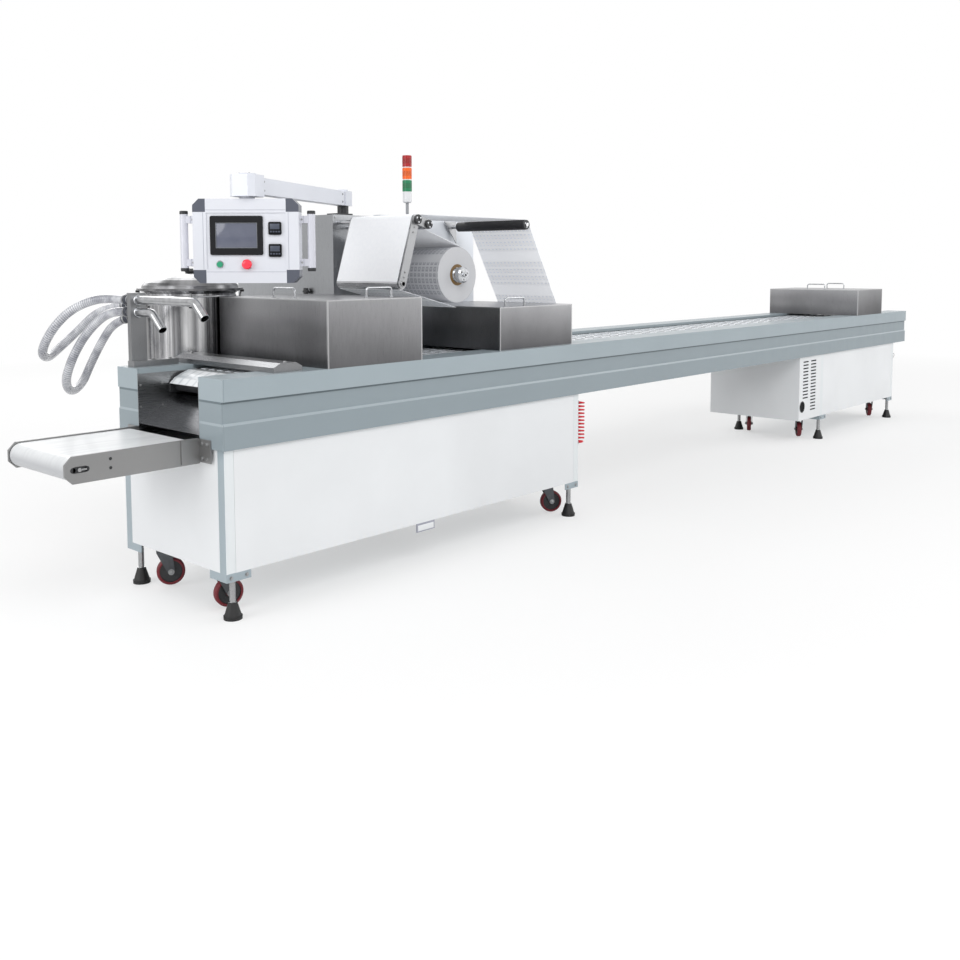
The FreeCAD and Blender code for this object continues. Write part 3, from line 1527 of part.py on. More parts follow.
def regulator():
    """A filter regulator on a bracket at the top of the right cabinet's end panel."""
    x = regulator_x
    y = S.regulator_y
    top = S.regulator_top
    wall = right_cabinet_end
    knob = rod("regulator_knob", "z", (x, y, top - 34), 34, S.regulator_radius - 4)
    block = box("regulator_block", (x - 22, y - 22, top - 74), (44, 44, 40))
    bowl = rod("regulator_bowl", "z", (x, y, S.short_coil_top), top - 74 - S.short_coil_top,
               S.regulator_radius - 4)
    arm = box("regulator_arm", (wall, y - 12, top - 66), (x - 22 - wall, 24, 24))
    sub_part("regulator", fuse("regulator_fused", [knob, block, bowl, arm]))


def build():
    beams()
    bed_trough()
    chain_guides()
    film_web()
    outfeed_chute()
    outfeed_nose()
    conveyor_frame()
    conveyor_belt()
    left_cabinet()
    right_cabinet()
    louvre_panel()
    levelling_feet()
    casters()
    rear = S.frame_width - S.cover_a_inset
    cover("left_cover", S.cover_a_x, S.cover_a_length, S.cover_a_height, S.cover_a_inset, rear)
    cover("middle_cover", S.cover_b_x, S.cover_b_length, S.cover_b_height, S.cover_b_inset,
          housing_front - S.seat_gap)
    cover("right_cover", cover_c_x, S.cover_c_length, S.cover_c_height, S.cover_c_inset, rear)
    cover_handles()
    cross_bar()
    suction_post()
    suction_pipes()
    barrel_body()
    barrel_lid()
    electrical_housing()
    rear_panel()
    web_rollers()
    dancer_arms()
    paper_web()
    paper_reel()
    reel_chuck()
    stack_light()
    arm_base()
    panel_arm()
    panel_housing()
    panel_instruments()
    panel_handles()
    panel_buttons()
    hoses()
    air_lines()
    regulator()


def check_and_write():
    """Stop on any failed object or bad shape, and otherwise write each sub-part."""
    doc.recompute()
    for item in doc.Objects:
        if "Invalid" in item.State or "Error" in item.State:
            raise RuntimeError(f"{item.Name} failed: {item.State}")
    os.makedirs("parts", exist_ok=True)
    for item in sub_parts:
        if item.Shape.isNull() or not item.Shape.isValid():
            raise RuntimeError(f"{item.Label} has no valid shape")
        item.Shape.exportStep(f"parts/{item.Label}.step")
    print(len(sub_parts), "sub-parts written")


build()
check_and_write()
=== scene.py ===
import math

import bmesh
import bpy
from mathutils import Matrix, Vector


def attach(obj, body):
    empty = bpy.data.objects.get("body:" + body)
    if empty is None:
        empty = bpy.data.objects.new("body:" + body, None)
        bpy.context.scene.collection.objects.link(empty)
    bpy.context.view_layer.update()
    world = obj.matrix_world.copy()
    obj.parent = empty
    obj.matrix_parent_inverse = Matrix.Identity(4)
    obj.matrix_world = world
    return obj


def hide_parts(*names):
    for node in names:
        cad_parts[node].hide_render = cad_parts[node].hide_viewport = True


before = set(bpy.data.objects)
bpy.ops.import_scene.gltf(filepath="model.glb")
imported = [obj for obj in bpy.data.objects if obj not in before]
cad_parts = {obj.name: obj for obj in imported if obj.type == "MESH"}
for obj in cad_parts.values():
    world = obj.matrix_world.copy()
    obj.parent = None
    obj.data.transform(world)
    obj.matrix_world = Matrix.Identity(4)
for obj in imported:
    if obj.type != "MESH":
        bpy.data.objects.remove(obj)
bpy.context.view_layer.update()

# The syringe packaging machine, dressed for the camera. Places are given in millimetres from the
# left end of the beams, the front face of the front beam and the floor, as in the part's source,
# and spot() turns them into the frame's metres.

MIDDLE_X = 3538.5
MIDDLE_Y = 818.0


def spot(x, y, z):
    return Vector(((x - MIDDLE_X) / 1000, (y - MIDDLE_Y) / 1000, z / 1000))


ARM_TURN = math.radians(205.4)
PANEL_TURN = math.radians(-48)
PIVOT_X, PIVOT_Y, ARM_REACH = 1325, 806, 1030
HEAD_X = PIVOT_X + ARM_REACH * math.cos(ARM_TURN)
HEAD_Y = PIVOT_Y + ARM_REACH * math.sin(ARM_TURN)
PANEL_MIDDLE = 1559.5
GLASS_LEFT, GLASS_RIGHT, GLASS_LOW, GLASS_TOP = -130.5, 48.5, -29.5, 77.5
BARREL_X, BARREL_Y = 529, 1050
REEL_X, REEL_Z = 1564, 1400
BLACK_ROLLER_X, BLACK_ROLLER_Z = 2120, 1674
LIGHT_X, LIGHT_Y = 1796, 793
REGULATOR_X, REGULATOR_Y = 7424, 52
LENS_FOOT, LENS_PITCH = 1864, 70
WORLD = Matrix.Translation(spot(0, 0, 0))


def turned_frame(x, y, turn):
    """The matrix of a place that is turned about the upright axis, in metres."""
    return Matrix.Translation(spot(x, y, 0)) @ Matrix.Rotation(turn, 4, "Z")


PANEL_FRAME = turned_frame(HEAD_X, HEAD_Y, PANEL_TURN)
ARM_FRAME = turned_frame(PIVOT_X, PIVOT_Y, ARM_TURN)


# Materials

class Value:
    """A shader socket on which Python's arithmetic adds Math nodes."""

    def __init__(self, finish, socket):
        self.finish = finish
        self.socket = socket

    def math(self, operation, *others):
        return self.finish.node("ShaderNodeMath", {"operation": operation}, self, *others)

    def __add__(self, other):
        return self.math("ADD", other)

    def __sub__(self, other):
        return self.math("SUBTRACT", other)

    def __rsub__(self, other):
        return self.finish.node("ShaderNodeMath", {"operation": "SUBTRACT"}, other, self)

    def __mul__(self, other):
        return self.math("MULTIPLY", other)

    def __truediv__(self, other):
        return self.math("DIVIDE", other)

    def above(self, limit):
        return self.math("GREATER_THAN", limit)

    def below(self, limit):
        return self.math("LESS_THAN", limit)


class Finish:
    """A procedural material, built from one kind of call."""

    def __init__(self, name, colour, roughness=0.5, metallic=0.0, **fixed):
        self.material = bpy.data.materials.new(name)
        self.material.use_nodes = True
        self.tree = self.material.node_tree
        self.shader = self.tree.nodes["Principled BSDF"]
        self.colour = linear(colour)
        self.set("Base Color", (*self.colour, 1))
        self.set("Roughness", roughness)
        self.set("Metallic", metallic)
        for socket, value in fixed.items():
            self.set(socket.replace("_", " "), value)

    def node(self, kind, settings, *inputs, output=0, **named):
        """A node of a kind, with its settings first and then its inputs, as a Value."""
        made = self.tree.nodes.new(kind)
        for key, value in settings.items():
            if key == "stops":
                ramp = made.color_ramp
                for index, (place, shade) in enumerate(value):
                    stop = ramp.elements[index] if index < 2 else ramp.elements.new(place)
                    stop.position = place
                    stop.color = (*shade, 1)
            else:
                setattr(made, key, value)
        for index, value in list(enumerate(inputs)) + list(named.items()):
            socket = made.inputs[index.replace("_", " ") if isinstance(index, str) else index]
            self.feed(socket, value)
        return Value(self, made.outputs[output])

    def feed(self, socket, value):
        if isinstance(value, Value):
            self.tree.links.new(value.socket, socket)
        else:
            socket.default_value = value

    def set(self, name, value):
        self.feed(self.shader.inputs[name], value)

    def paint(self, value):
        self.set("Base Color", value)

    def rough(self, value):
        self.set("Roughness", value)

    def place(self):
        return self.node("ShaderNodeTexCoord", {}, output=3)

    def axes(self):
        """x, y and z of the surface, in millimetres from the drawing's own start."""
        place = self.place()
        parts = [self.node("ShaderNodeSeparateXYZ", {}, place, output=index) for index in range(3)]
        return parts[0] * 1000 + MIDDLE_X, parts[1] * 1000 + MIDDLE_Y, parts[2] * 1000

    def stretched(self, scale):
        return self.node("ShaderNodeVectorMath", {"operation": "MULTIPLY"}, self.place(), scale)

    def noise(self, scale, detail=2.0, stretch=(1, 1, 1), roughness=0.5):
        return self.node("ShaderNodeTexNoise", {}, Vector=self.stretched(stretch), Scale=scale,
                         Detail=detail, Roughness=roughness)

    def mix(self, factor, low, high):
        """A colour between two colours."""
        made = self.tree.nodes.new("ShaderNodeMix")
        made.data_type = "RGBA"
        sockets = [socket for socket in made.inputs if socket.enabled]
        for socket, value in zip(sockets, (factor, low, high)):
            if not isinstance(value, Value) and socket.type == "RGBA":
                value = (*value, 1)
            self.feed(socket, value)
        return Value(self, [socket for socket in made.outputs if socket.enabled][0])

    def spread(self, value, low, high, start=0.0, end=1.0):
        return self.node("ShaderNodeMapRange", {}, value, low, high, start, end)

    def ramp(self, value, *stops):
        return self.node("ShaderNodeValToRGB", {"stops": stops}, value)

    def wave(self, along, detail, roughness=0.5):
        """Noise along one value."""
        return self.node("ShaderNodeTexNoise", {"noise_dimensions": "1D"}, W=along, Scale=1.0,
                         Detail=detail, Roughness=roughness)

    def around(self, across, up):
        """The distance and the angle of the surface from an axis."""
        return (across * across + up * up).math("SQRT"), up.math("ARCTAN2", across)

    def bump(self, height, depth, strength=1.0):
        bumped = self.node("ShaderNodeBump", {}, Strength=strength, Distance=depth, Height=height)
        self.set("Normal", bumped)


def linear(colour):
    """A colour written as 0 to 255 screen values, as the shader wants it."""
    return tuple((c / 255 / 12.92) if c <= 10 else ((c / 255 + 0.055) / 1.055) ** 2.4 for c in colour)


def circle(count, start=0.0):
    """Even angles round a full turn."""
    return [start + math.tau * step / count for step in range(count)]


def darker(colour, share):
    return tuple(channel * share for channel in colour)


def enamel(name, colour, roughness=0.36, peel=0.00012):
    """Powder-coated sheet: a fine orange peel, and a trace of handling marks."""
    finish = Finish(name, colour, roughness, Coat_Weight=0.25, Coat_Roughness=0.2)
    cloud = finish.noise(1.7, 4.0)
    finish.paint(finish.mix(finish.spread(cloud, 0.35, 0.7), darker(finish.colour, 0.93),
                                        finish.colour))
    marks = finish.noise(9.0, 6.0, (1, 1, 0.35), 0.65)
    finish.rough(finish.spread(marks, 0.35, 0.75, roughness - 0.05, roughness + 0.10))
    finish.bump(finish.noise(420.0, 2.0), peel, 0.5)
    return finish


def brushed(name, colour, grain=(1, 60, 60), roughness=0.32, contrast=0.16, cloud_scale=1.3):
    """Brushed stainless sheet, with the grain along the axis of the small stretch."""
    finish = Finish(name, colour, roughness, 1.0)
    lines = finish.noise(14.0, 6.0, grain, 0.7)
    cloud = finish.noise(cloud_scale, 3.0)
    shade = lines * contrast + cloud * 0.55
    finish.paint(finish.mix(finish.spread(shade, 0.2, 0.62), darker(finish.colour, 0.62),
                                        darker(finish.colour, 1.18)))
    finish.rough(finish.spread(lines, 0.3, 0.7, roughness - 0.08, roughness + 0.12))
    finish.bump(lines, 0.00010, 0.45)
    return finish


def plastic(name, colour, roughness=0.42, grain=900.0, depth=0.00008, **fixed):
    """Moulded plastic or rubber with a fine texture and a little dust."""
    finish = Finish(name, colour, roughness, **fixed)
    dust = finish.noise(12.0, 5.0)
    finish.paint(finish.mix(finish.spread(dust, 0.45, 0.8), finish.colour,
                                        tuple(min(1, c * 1.1 + 0.012) for c in finish.colour)))
    finish.rough(finish.spread(dust, 0.3, 0.8, roughness - 0.05, roughness + 0.12))
    finish.bump(finish.noise(grain, 2.0), depth, 0.5)
    return finish


def plated(name, colour=(205, 207, 210), roughness=0.16):
    """Polished or plated steel with faint turning lines."""
    finish = Finish(name, colour, roughness, 1.0)
    haze = finish.noise(40.0, 4.0)
    finish.paint(finish.mix(finish.spread(haze, 0.3, 0.75), darker(finish.colour, 0.72),
                                        finish.colour))
    finish.rough(finish.spread(haze, 0.3, 0.8, roughness, roughness + 0.14))
    finish.bump(finish.noise(700.0, 1.0), 0.00004, 0.4)
    return finish


def beam_enamel():
    """Blue-grey enamel, with painted light on the proud upper band, a painted highlight on the ledge and a painted
    shadow line between them.
    """
    finish = enamel("beam_enamel", (136, 148, 154))
    x, y, z = finish.axes()
    cloud = finish.noise(1.1, 4.0)
    low = finish.mix(finish.spread(cloud, 0.3, 0.75), darker(finish.colour, 0.93), finish.colour)
    # painted light: the proud upper band gets lighter colours, as if it caught more light
    high = finish.mix(finish.spread(cloud, 0.3, 0.75), linear((147, 159, 165)), linear((155, 167, 173)))
    body = finish.mix(z.above(908), low, high)
    # painted shadow in the groove under the upper band, and a painted highlight on the ledge that faces up
    painted_groove_shadow = z.above(899) * z.below(908.5)
    painted_ledge_highlight = z.above(809) * z.below(819.5)
    seam = x.above(4.5) * x.below(6.5) + x.above(7643.5) * x.below(7645.5)
    body_with_painted_light = finish.mix(painted_groove_shadow, finish.mix(painted_ledge_highlight, body, linear((157, 168, 174))), linear((92, 106, 112)))
    finish.paint(finish.mix(seam, body_with_painted_light, linear((120, 132, 138))))
    return finish


def post_enamel():
    """Posts whose front faces are white like the panels, with a fine shut line beside them."""
    finish = enamel("post_enamel", (150, 163, 170))
    x, y, z = finish.axes()
    front = (y.below(18.6) + y.above(801.4)) * z.above(201)
    white = finish.mix(finish.noise(1.7, 4.0), linear((214, 219, 221)), linear((222, 226, 228)))
    finish.paint(finish.mix(front, finish.colour, white))
    return finish


def cover_steel(name, left, right, front, top):
    """A folded cover: brushed upright, with painted light at the top, painted highlights on its folded edges, painted
    shade low down and painted reflection streaks on its left side.
    """
    finish = Finish(name, (150, 151, 153), 0.3, 1.0)
    x, y, z = finish.axes()
    lines = finish.noise(16.0, 5.0, (60, 60, 1), 0.7)
    cloud = finish.noise(1.6, 3.0, (1, 1, 0.6))
    # painted reflection: soft horizontal streaks, used only on the left side
    painted_reflection_streaks = finish.noise(2.2, 1.0, (0.5, 0.5, 3.0))
    # painted light and shade: lighter towards the top, darker low down
    height = finish.spread(z, 1000, top, 0.0, 1.0)
    side = (x - left).below(2)
    shade = height * 0.52 + (lines - 0.5) * 0.25 + (cloud - 0.5) * 0.7 + (painted_reflection_streaks - 0.5) * 0.5 * side + 0.2
    body = finish.ramp(shade, (0.0, linear((74, 74, 76))), (0.35, linear((116, 116, 118))),
                       (0.7, linear((158, 158, 160))), (1.0, linear((196, 196, 198))))
    # painted highlights along the folded edges at the front and the top
    near = (y - front).below(7)
    edge = near * ((x - left).below(7) + (right - x).below(7)) + (z - (top - 5)).above(0) * (
        near + (x - left).below(7) + (right - x).below(7))
    edge = edge.math("MINIMUM", 1.0)
    finish.paint(finish.mix(edge * 0.45, body, linear((222, 222, 223))))
    finish.rough(finish.spread(lines, 0.3, 0.7, 0.24, 0.42))
    finish.bump(lines, 0.0001, 0.45)
    return finish


def barrel_steel():
    """Polished barrel sheet, with a painted reflection of the hall in upright bands."""
    finish = Finish("barrel_steel", (176, 178, 180), 0.2, 1.0)
    x, y, z = finish.axes()
    radius, angle = finish.around(x - BARREL_X, y - BARREL_Y)
    # painted reflection: light and dark upright bands, set by the angle round the barrel
    painted_reflection_bands = finish.wave(angle * 5.5, 4.0, 0.7)
    fine = finish.noise(20.0, 4.0, (60, 60, 1))
    shade = finish.spread(painted_reflection_bands, 0.36, 0.62) * 0.92 + fine * 0.08
    small = finish.ramp(shade, (0.0, (0.045, 0.045, 0.05)), (0.35, (0.16, 0.16, 0.165)),
                        (0.6, (0.42, 0.42, 0.43)), (0.85, (0.86, 0.86, 0.87)))
    # broad painted reflection bands, fixed by the angle round the barrel
    painted_reflection_ramp = finish.ramp(
        angle / math.tau + 0.5, (0.0, (0.3, 0.3, 0.31)), (0.06, (0.66, 0.66, 0.67)), (0.11, (0.2, 0.2, 0.21)),
        (0.15, (0.88, 0.88, 0.89)), (0.175, (0.34, 0.34, 0.35)), (0.2, (0.8, 0.8, 0.81)),
        (0.215, (0.02, 0.02, 0.022)), (0.265, (0.02, 0.02, 0.022)), (0.3, (0.25, 0.25, 0.26)),
        (0.45, (0.6, 0.6, 0.61)), (0.62, (0.12, 0.12, 0.125)), (0.8, (0.7, 0.7, 0.71)),
        (1.0, (0.3, 0.3, 0.31)))
    finish.paint(finish.mix(0.62, small, painted_reflection_ramp))
    finish.rough(finish.spread(fine, 0.3, 0.7, 0.14, 0.3))
    finish.bump(fine, 0.00008, 0.4)
    return finish


def lid_steel():
    """Spun sheet, with rings round the dome and painted reflection in soft dark sweeps."""
    finish = Finish("lid_steel", (140, 140, 142), 0.26, 1.0)
    x, y, z = finish.axes()
    radius, angle = finish.around(x - BARREL_X, y - BARREL_Y)
    rings = finish.wave(radius * 0.35, 3.0)
    # painted reflection: soft dark sweeps, set by the angle round the lid
    painted_reflection_sweeps = finish.wave(angle * 1.6, 2.0)
    shade = finish.spread(rings, 0.3, 0.7) * 0.25 + finish.spread(painted_reflection_sweeps, 0.35, 0.65) * 0.75
    finish.paint(finish.mix(shade, linear((48, 48, 50)), linear((158, 158, 160))))
    finish.bump(rings, 0.0001, 0.4)
    return finish


def film_finish():
    """Clear film over white packs: rows of shallow pockets with soft edges."""
    finish = Finish("formed_film", (240, 243, 245), 0.16, Coat_Weight=0.6, Coat_Roughness=0.08)
    x, y, z = finish.axes()
    across = (y / 57).math("FRACT")
    along = (x / 190).math("FRACT")
    ribs = across.math("PINGPONG", 0.5) * 2
    ends = along.math("PINGPONG", 0.5) * 2
    pocket = finish.spread(ribs, 0.12, 0.34) * finish.spread(ends, 0.04, 0.12)
    finish.paint(finish.mix(pocket, linear((204, 209, 213)), linear((225, 228, 230))))
    crease = finish.noise(16.0, 4.0, (1, 1, 1))
    finish.bump(pocket * 0.8 + crease * 0.25, 0.0016, 0.6)
    return finish


def printed(finish, along, across):
    """Pale squares in rows, each with a lighter middle, as a mask of ink."""
    row = (along / 34).math("FRACT")
    column = (across / 28).math("FRACT")
    square = row.above(0.14) * row.below(0.86) * column.above(0.16) * column.below(0.84)
    middle = row.above(0.3) * row.below(0.62) * column.above(0.3) * column.below(0.7)
    band = (along / 170).math("FRACT").above(0.28)
    return (square - middle * 0.55) * band


def paper_finish():
    """Coated paper: bare on the left drop, and printed in pale rows on the right one, with painted light as a glow
    from the paper, four times stronger on the right drop.
    """
    finish = Finish("printed_paper", (238, 239, 243), 0.5, Emission_Strength=0.42)
    x, y, z = finish.axes()
    ink = printed(finish, z + x * 0.25, y) * x.above(2060) * z.below(1690)
    low_ink = printed(finish, x, y) * z.below(1335) * x.below(2060)
    body = finish.mix(finish.noise(60.0, 3.0), linear((225, 227, 231)), linear((235, 236, 238)))
    shown = finish.mix((ink * 0.36 + low_ink * 0.6), body, linear((150, 154, 164)))
    finish.paint(shown)
    # painted light: the paper glows in its own colour, at a quarter of the glow on the left drop
    finish.set("Emission Color", finish.mix(x.above(2060) * 0.75 + 0.25, (0, 0, 0), shown))
    finish.bump(finish.noise(500.0, 3.0), 0.0001, 0.4)
    return finish


def reel_finish():
    """Wound paper: fine rings on the ends, a brown core inside them, printed squares round it."""
    finish = Finish("wound_paper", (226, 227, 230), 0.6)
    x, y, z = finish.axes()
    radius, angle = finish.around(x - REEL_X, z - REEL_Z)
    rings = finish.wave(radius * 0.9, 4.0)
    body = finish.mix(rings, linear((168, 169, 173)), linear((206, 207, 210)))
    ink = printed(finish, angle * 145, y) * radius.above(143) * y.above(187) * y.below(631)
    inked = finish.mix(ink * 0.62, body, linear((120, 123, 132)))
    finish.paint(finish.mix(radius.below(55.5), inked, linear((118, 92, 54))))
    finish.bump(rings * radius.below(143), 0.0003, 0.5)
    return finish


def roller_finish():
    """Plated rollers; the one by the web's drop has a black rubber cover."""
    finish = Finish("roller_steel", (196, 197, 200), 0.2, 1.0)
    x, y, z = finish.axes()
    rubber = x.above(2060) * ((x - BLACK_ROLLER_X) * (x - BLACK_ROLLER_X) + (z - BLACK_ROLLER_Z) * (z - BLACK_ROLLER_Z)).above(484)
    haze = finish.noise(30.0, 4.0, (1, 0.2, 1))
    steel = finish.mix(haze, linear((150, 151, 154)), linear((212, 213, 216)))
    finish.paint(finish.mix(rubber, steel, linear((34, 34, 36))))
    finish.set("Metallic", 1.0 - rubber)
    finish.rough(rubber * 0.25 + finish.spread(haze, 0.3, 0.7, 0.16, 0.3))
    finish.bump(haze, 0.00005, 0.4)
    return finish


def foot_finish():
    """Black rubber pads under plated stems and lock nuts."""
    finish = Finish("foot_rubber", (22, 22, 23), 0.5)
    x, y, z = finish.axes()
    stem = z.above(72.6)
    grain = finish.noise(200.0, 3.0)
    pad = finish.mix(grain, linear((9, 9, 10)), linear((20, 20, 21)))
    finish.paint(finish.mix(stem, pad, linear((176, 177, 178))))
    finish.set("Metallic", stem)
    finish.rough(0.52 - stem * 0.26)
    finish.bump(grain, 0.0002, 0.5)
    return finish


def rear_panel_finish():
    """The white panel, with the dark bearing ring that is part of it."""
    finish = enamel("rear_panel_enamel", (224, 228, 234))
    x, y, z = finish.axes()
    ring = y.below(765.5)
    finish.paint(finish.mix(ring, finish.colour, linear((70, 72, 76))))
    return finish


def panel_finish():
    """Pale enamel with four dark corner pieces."""
    finish = enamel("panel_enamel", (226, 227, 238), 0.32)
    x, y, z = finish.axes()
    side = ((x - HEAD_X) * math.cos(PANEL_TURN) + (y - HEAD_Y) * math.sin(PANEL_TURN)).math("ABSOLUTE")
    level = (z - PANEL_MIDDLE).math("ABSOLUTE")
    corner = side.above(177.6) * level.above(127.2) * level.below(187)
    neck = level.above(187)
    body = finish.mix(finish.noise(4.0, 3.0), linear((205, 207, 214)), linear((214, 216, 223)))
    dressed = finish.mix(corner, body, linear((76, 80, 92)))
    finish.paint(finish.mix(neck, dressed, linear((196, 198, 206))))
    return finish


def light_finish():
    """The stack light's three colours over a white base, with dark joints between them."""
    finish = Finish("lamp_plastic", (235, 236, 238), 0.3, Coat_Weight=0.1, Emission_Strength=0.16)
    x, y, z = finish.axes()
    base = finish.mix(z.above(1806.5), linear((150, 152, 156)), linear((226, 227, 229)))
    green = finish.mix(z.above(LENS_FOOT), base, linear((0, 122, 78)))
    amber = finish.mix(z.above(LENS_FOOT + LENS_PITCH), green, linear((232, 98, 0)))
    red = finish.mix(z.above(LENS_FOOT + 2 * LENS_PITCH), amber, linear((166, 0, 10)))
    lens = z.above(LENS_FOOT)
    joint = (z - LENS_FOOT).math("MODULO", LENS_PITCH).below(6) * lens
    core = ((z - LENS_FOOT).math("MODULO", LENS_PITCH) - 38).math("ABSOLUTE").below(14) * lens
    shaded = finish.mix(core * 0.35, red, (0.02, 0.01, 0.0))
    shown = finish.mix(joint, shaded, linear((206, 207, 208)))
    finish.paint(shown)
    finish.set("Emission Color", finish.mix(lens, (0.0, 0.0, 0.0), shown))
    finish.bump(finish.noise(90.0, 2.0, (1, 1, 0.1)), 0.0002, 0.5)
    return finish


def hose_finish():
    """Clear hose over a wire helix, which shows as a fine dark line round it."""
    finish = Finish("wire_hose", (224, 226, 232), 0.1, Coat_Weight=0.9, Coat_Roughness=0.05, IOR=1.45)
    place = [finish.node("ShaderNodeSeparateXYZ", {}, finish.node("ShaderNodeUVMap", {"uv_map": "Hose"}),
                         output=index) for index in range(2)]
    wire = ((place[0] + place[1]) * math.tau).math("SINE") * 0.5 + 0.5
    line = finish.spread(wire, 0.55, 0.95)
    sheen = finish.noise(14.0, 4.0)
    body = finish.mix(finish.spread(sheen, 0.35, 0.65), linear((140, 143, 155)), linear((236, 238, 243)))
    finish.paint(finish.mix(line * 0.8, body, linear((66, 68, 79))))
    finish.set("Alpha", line * 0.3 + 0.6)
    finish.bump(finish.noise(260.0, 2.0), 0.0002, 0.4)
    return finish


def belt_finish():
    """White belt with a faint weave, and painted shade that greys it below its top run."""
    finish = Finish("belt_cover", (238, 239, 240), 0.4, Coat_Weight=0.2)
    weave = finish.noise(260.0, 2.0, (1, 2.2, 1))
    wear = finish.noise(5.0, 4.0, (1, 6, 1))
    x, y, z = finish.axes()
    top = finish.mix(finish.spread(wear, 0.4, 0.75), linear((224, 226, 227)), linear((208, 210, 212)))
    # painted shade: grey below the top run, fading in from z 690 to 742 mm
    finish.paint(finish.mix(finish.spread(z, 690, 742), linear((168, 170, 173)), top))
    finish.bump(weave, 0.00018, 0.5)
    return finish


def screen_finish():
    """The black bezel, its glass and the two controllers, by their place on the panel."""
    finish = Finish("screen_plastic", (30, 31, 35), 0.32, Specular_IOR_Level=0.3)
    x, y, z = finish.axes()
    side = (x - HEAD_X) * math.cos(PANEL_TURN) + (y - HEAD_Y) * math.sin(PANEL_TURN)
    level = z - PANEL_MIDDLE
    glass = (side.above(GLASS_LEFT) * side.below(GLASS_RIGHT) * level.above(GLASS_LOW)
             * level.below(GLASS_TOP))
    body = finish.mix(finish.noise(60.0, 3.0), linear((12, 12, 15)), linear((20, 21, 25)))
    finish.paint(finish.mix(glass, body, linear((90, 94, 108))))
    finish.rough(0.26 - glass * 0.14)
    finish.bump(finish.noise(600.0, 2.0), 0.00005, 0.4)
    return finish


STEEL_X = brushed("sheet_steel_along", (172, 173, 175), (1, 60, 60), 0.34)
BAR = brushed("bar_steel", (150, 151, 153), (60, 1, 60), 0.28, 0.25, 1.4)
STEEL_Z = brushed("sheet_steel_upright", (168, 169, 171), (60, 60, 1), 0.32)
LINER = brushed("liner_steel", (150, 152, 154), (1, 60, 60), 0.28, 0.25)
SIDE_PLATE = brushed("side_plate_steel", (158, 158, 158), (1, 80, 80), 0.42, 0.12, 0.7)
CHUTE = brushed("chute_steel", (112, 113, 116), (60, 1, 60), 0.22, 0.2, 2.0)
PLATED = plated("plated_steel")
PIPE = plated("pipe_steel", (186, 187, 189), 0.14)
BOLT = plated("bolt_steel", (170, 171, 172), 0.26)
BEAM = beam_enamel()
CABINET = enamel("cabinet_enamel", (226, 228, 230))
POST = post_enamel()
FORK = plated("fork_steel", (96, 98, 101), 0.32)
BLACK = plastic("black_plastic", (34, 35, 38), 0.4)
RUBBER = plastic("black_rubber", (20, 20, 21), 0.62, 300.0, 0.0003)
TREAD = plastic("red_tread", (112, 24, 34), 0.5, 300.0, 0.0002)
CORE = plastic("wheel_core", (40, 40, 42), 0.45)
GREEN = plastic("green_cap", (0, 140, 100), 0.25, Coat_Weight=0.5)
RED = plastic("red_cap", (238, 30, 58), 0.25, Coat_Weight=0.5)
PALE = enamel("pale_grip", (206, 207, 216), 0.26)
COIL = plastic("air_line", (200, 0, 32), 0.35, 500.0, 0.00004, Coat_Weight=0.1)
CUFF = plastic("hose_cuff", (38, 42, 54), 0.35)
GLASS = plastic("dark_glass", (88, 92, 108), 0.12, 200.0, 0.00001, Coat_Weight=0.4)
DISPLAY = plastic("display_window", (64, 70, 84), 0.3, 200.0, 0.00001)
DARK = plastic("deep_black", (16, 17, 20), 0.6, 300.0, 0.00005, Specular_IOR_Level=0.1)
LINE = plastic("seam_line", (150, 152, 164), 0.4)
CHAIN = plated("chain_steel", (58, 58, 60), 0.4)
PACK = plastic("pack_film", (220, 224, 228), 0.14, 300.0, 0.0004, Coat_Weight=0.8)
GREY = plastic("grey_plastic", (118, 121, 126), 0.4)
WHITE = plastic("dial_white", (238, 238, 236), 0.4)
ARM = enamel("arm_enamel", (220, 223, 231), 0.34)
HOSE = hose_finish()

DRESS = {
    "front_beam": BEAM, "rear_beam": BEAM, "bed_trough": LINER, "chain_guides": RUBBER,
    "film_web": film_finish(), "outfeed_chute": CHUTE, "outfeed_nose": BLACK,
    "conveyor_frame": SIDE_PLATE, "conveyor_belt": belt_finish(),
    "left_cabinet_frame": POST, "left_cabinet_panels": CABINET,
    "right_cabinet_frame": POST, "right_cabinet_panels": CABINET, "louvre_panel": CABINET,
    "levelling_feet": foot_finish(),
    "left_cover": cover_steel("left_cover_steel", 542, 1122, 1, 1300),
    "middle_cover": cover_steel("middle_cover_steel", 1741, 2372, 43, 1228),
    "right_cover": cover_steel("right_cover_steel", 6466, 7022, 1, 1223),
    "cover_handles": PLATED, "cross_bar": BAR, "suction_post": STEEL_Z, "suction_pipes": PIPE,
    "barrel_body": barrel_steel(), "barrel_lid": lid_steel(),
    "electrical_housing": brushed("housing_steel", (176, 178, 181), (60, 60, 1), 0.3, 0.2, 0.9),
    "rear_panel": rear_panel_finish(), "web_rollers": roller_finish(), "dancer_arms": STEEL_X,
    "paper_web": paper_finish(), "paper_reel": reel_finish(), "reel_chuck": PLATED,
    "stack_light": light_finish(), "arm_base": BLACK, "panel_arm": ARM,
    "panel_housing": panel_finish(), "panel_instruments": screen_finish(), "panel_handles": PALE,
    "start_button": GREEN, "stop_button": RED, "regulator": BLACK,
    "upper_hose": HOSE, "lower_hose": HOSE, "air_coils": COIL,
}

CASTERS = (
    ("left_front", 98, 183, -15), ("left_rear", 98, 637, -28), ("left_far_front", 2318, 183, -35),
    ("left_far_rear", 2318, 637, -24), ("right_front", 5742, 183, 34), ("right_rear", 5742, 637, 27),
    ("right_far_front", 7284, 183, 30), ("right_far_rear", 7284, 637, 22),
)

for caster in CASTERS:
    DRESS[caster[0] + "_fork"] = FORK
    DRESS[caster[0] + "_wheel"] = TREAD

for node, finish in DRESS.items():
    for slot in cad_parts[node].material_slots:
        slot.material = finish.material


# Shapes

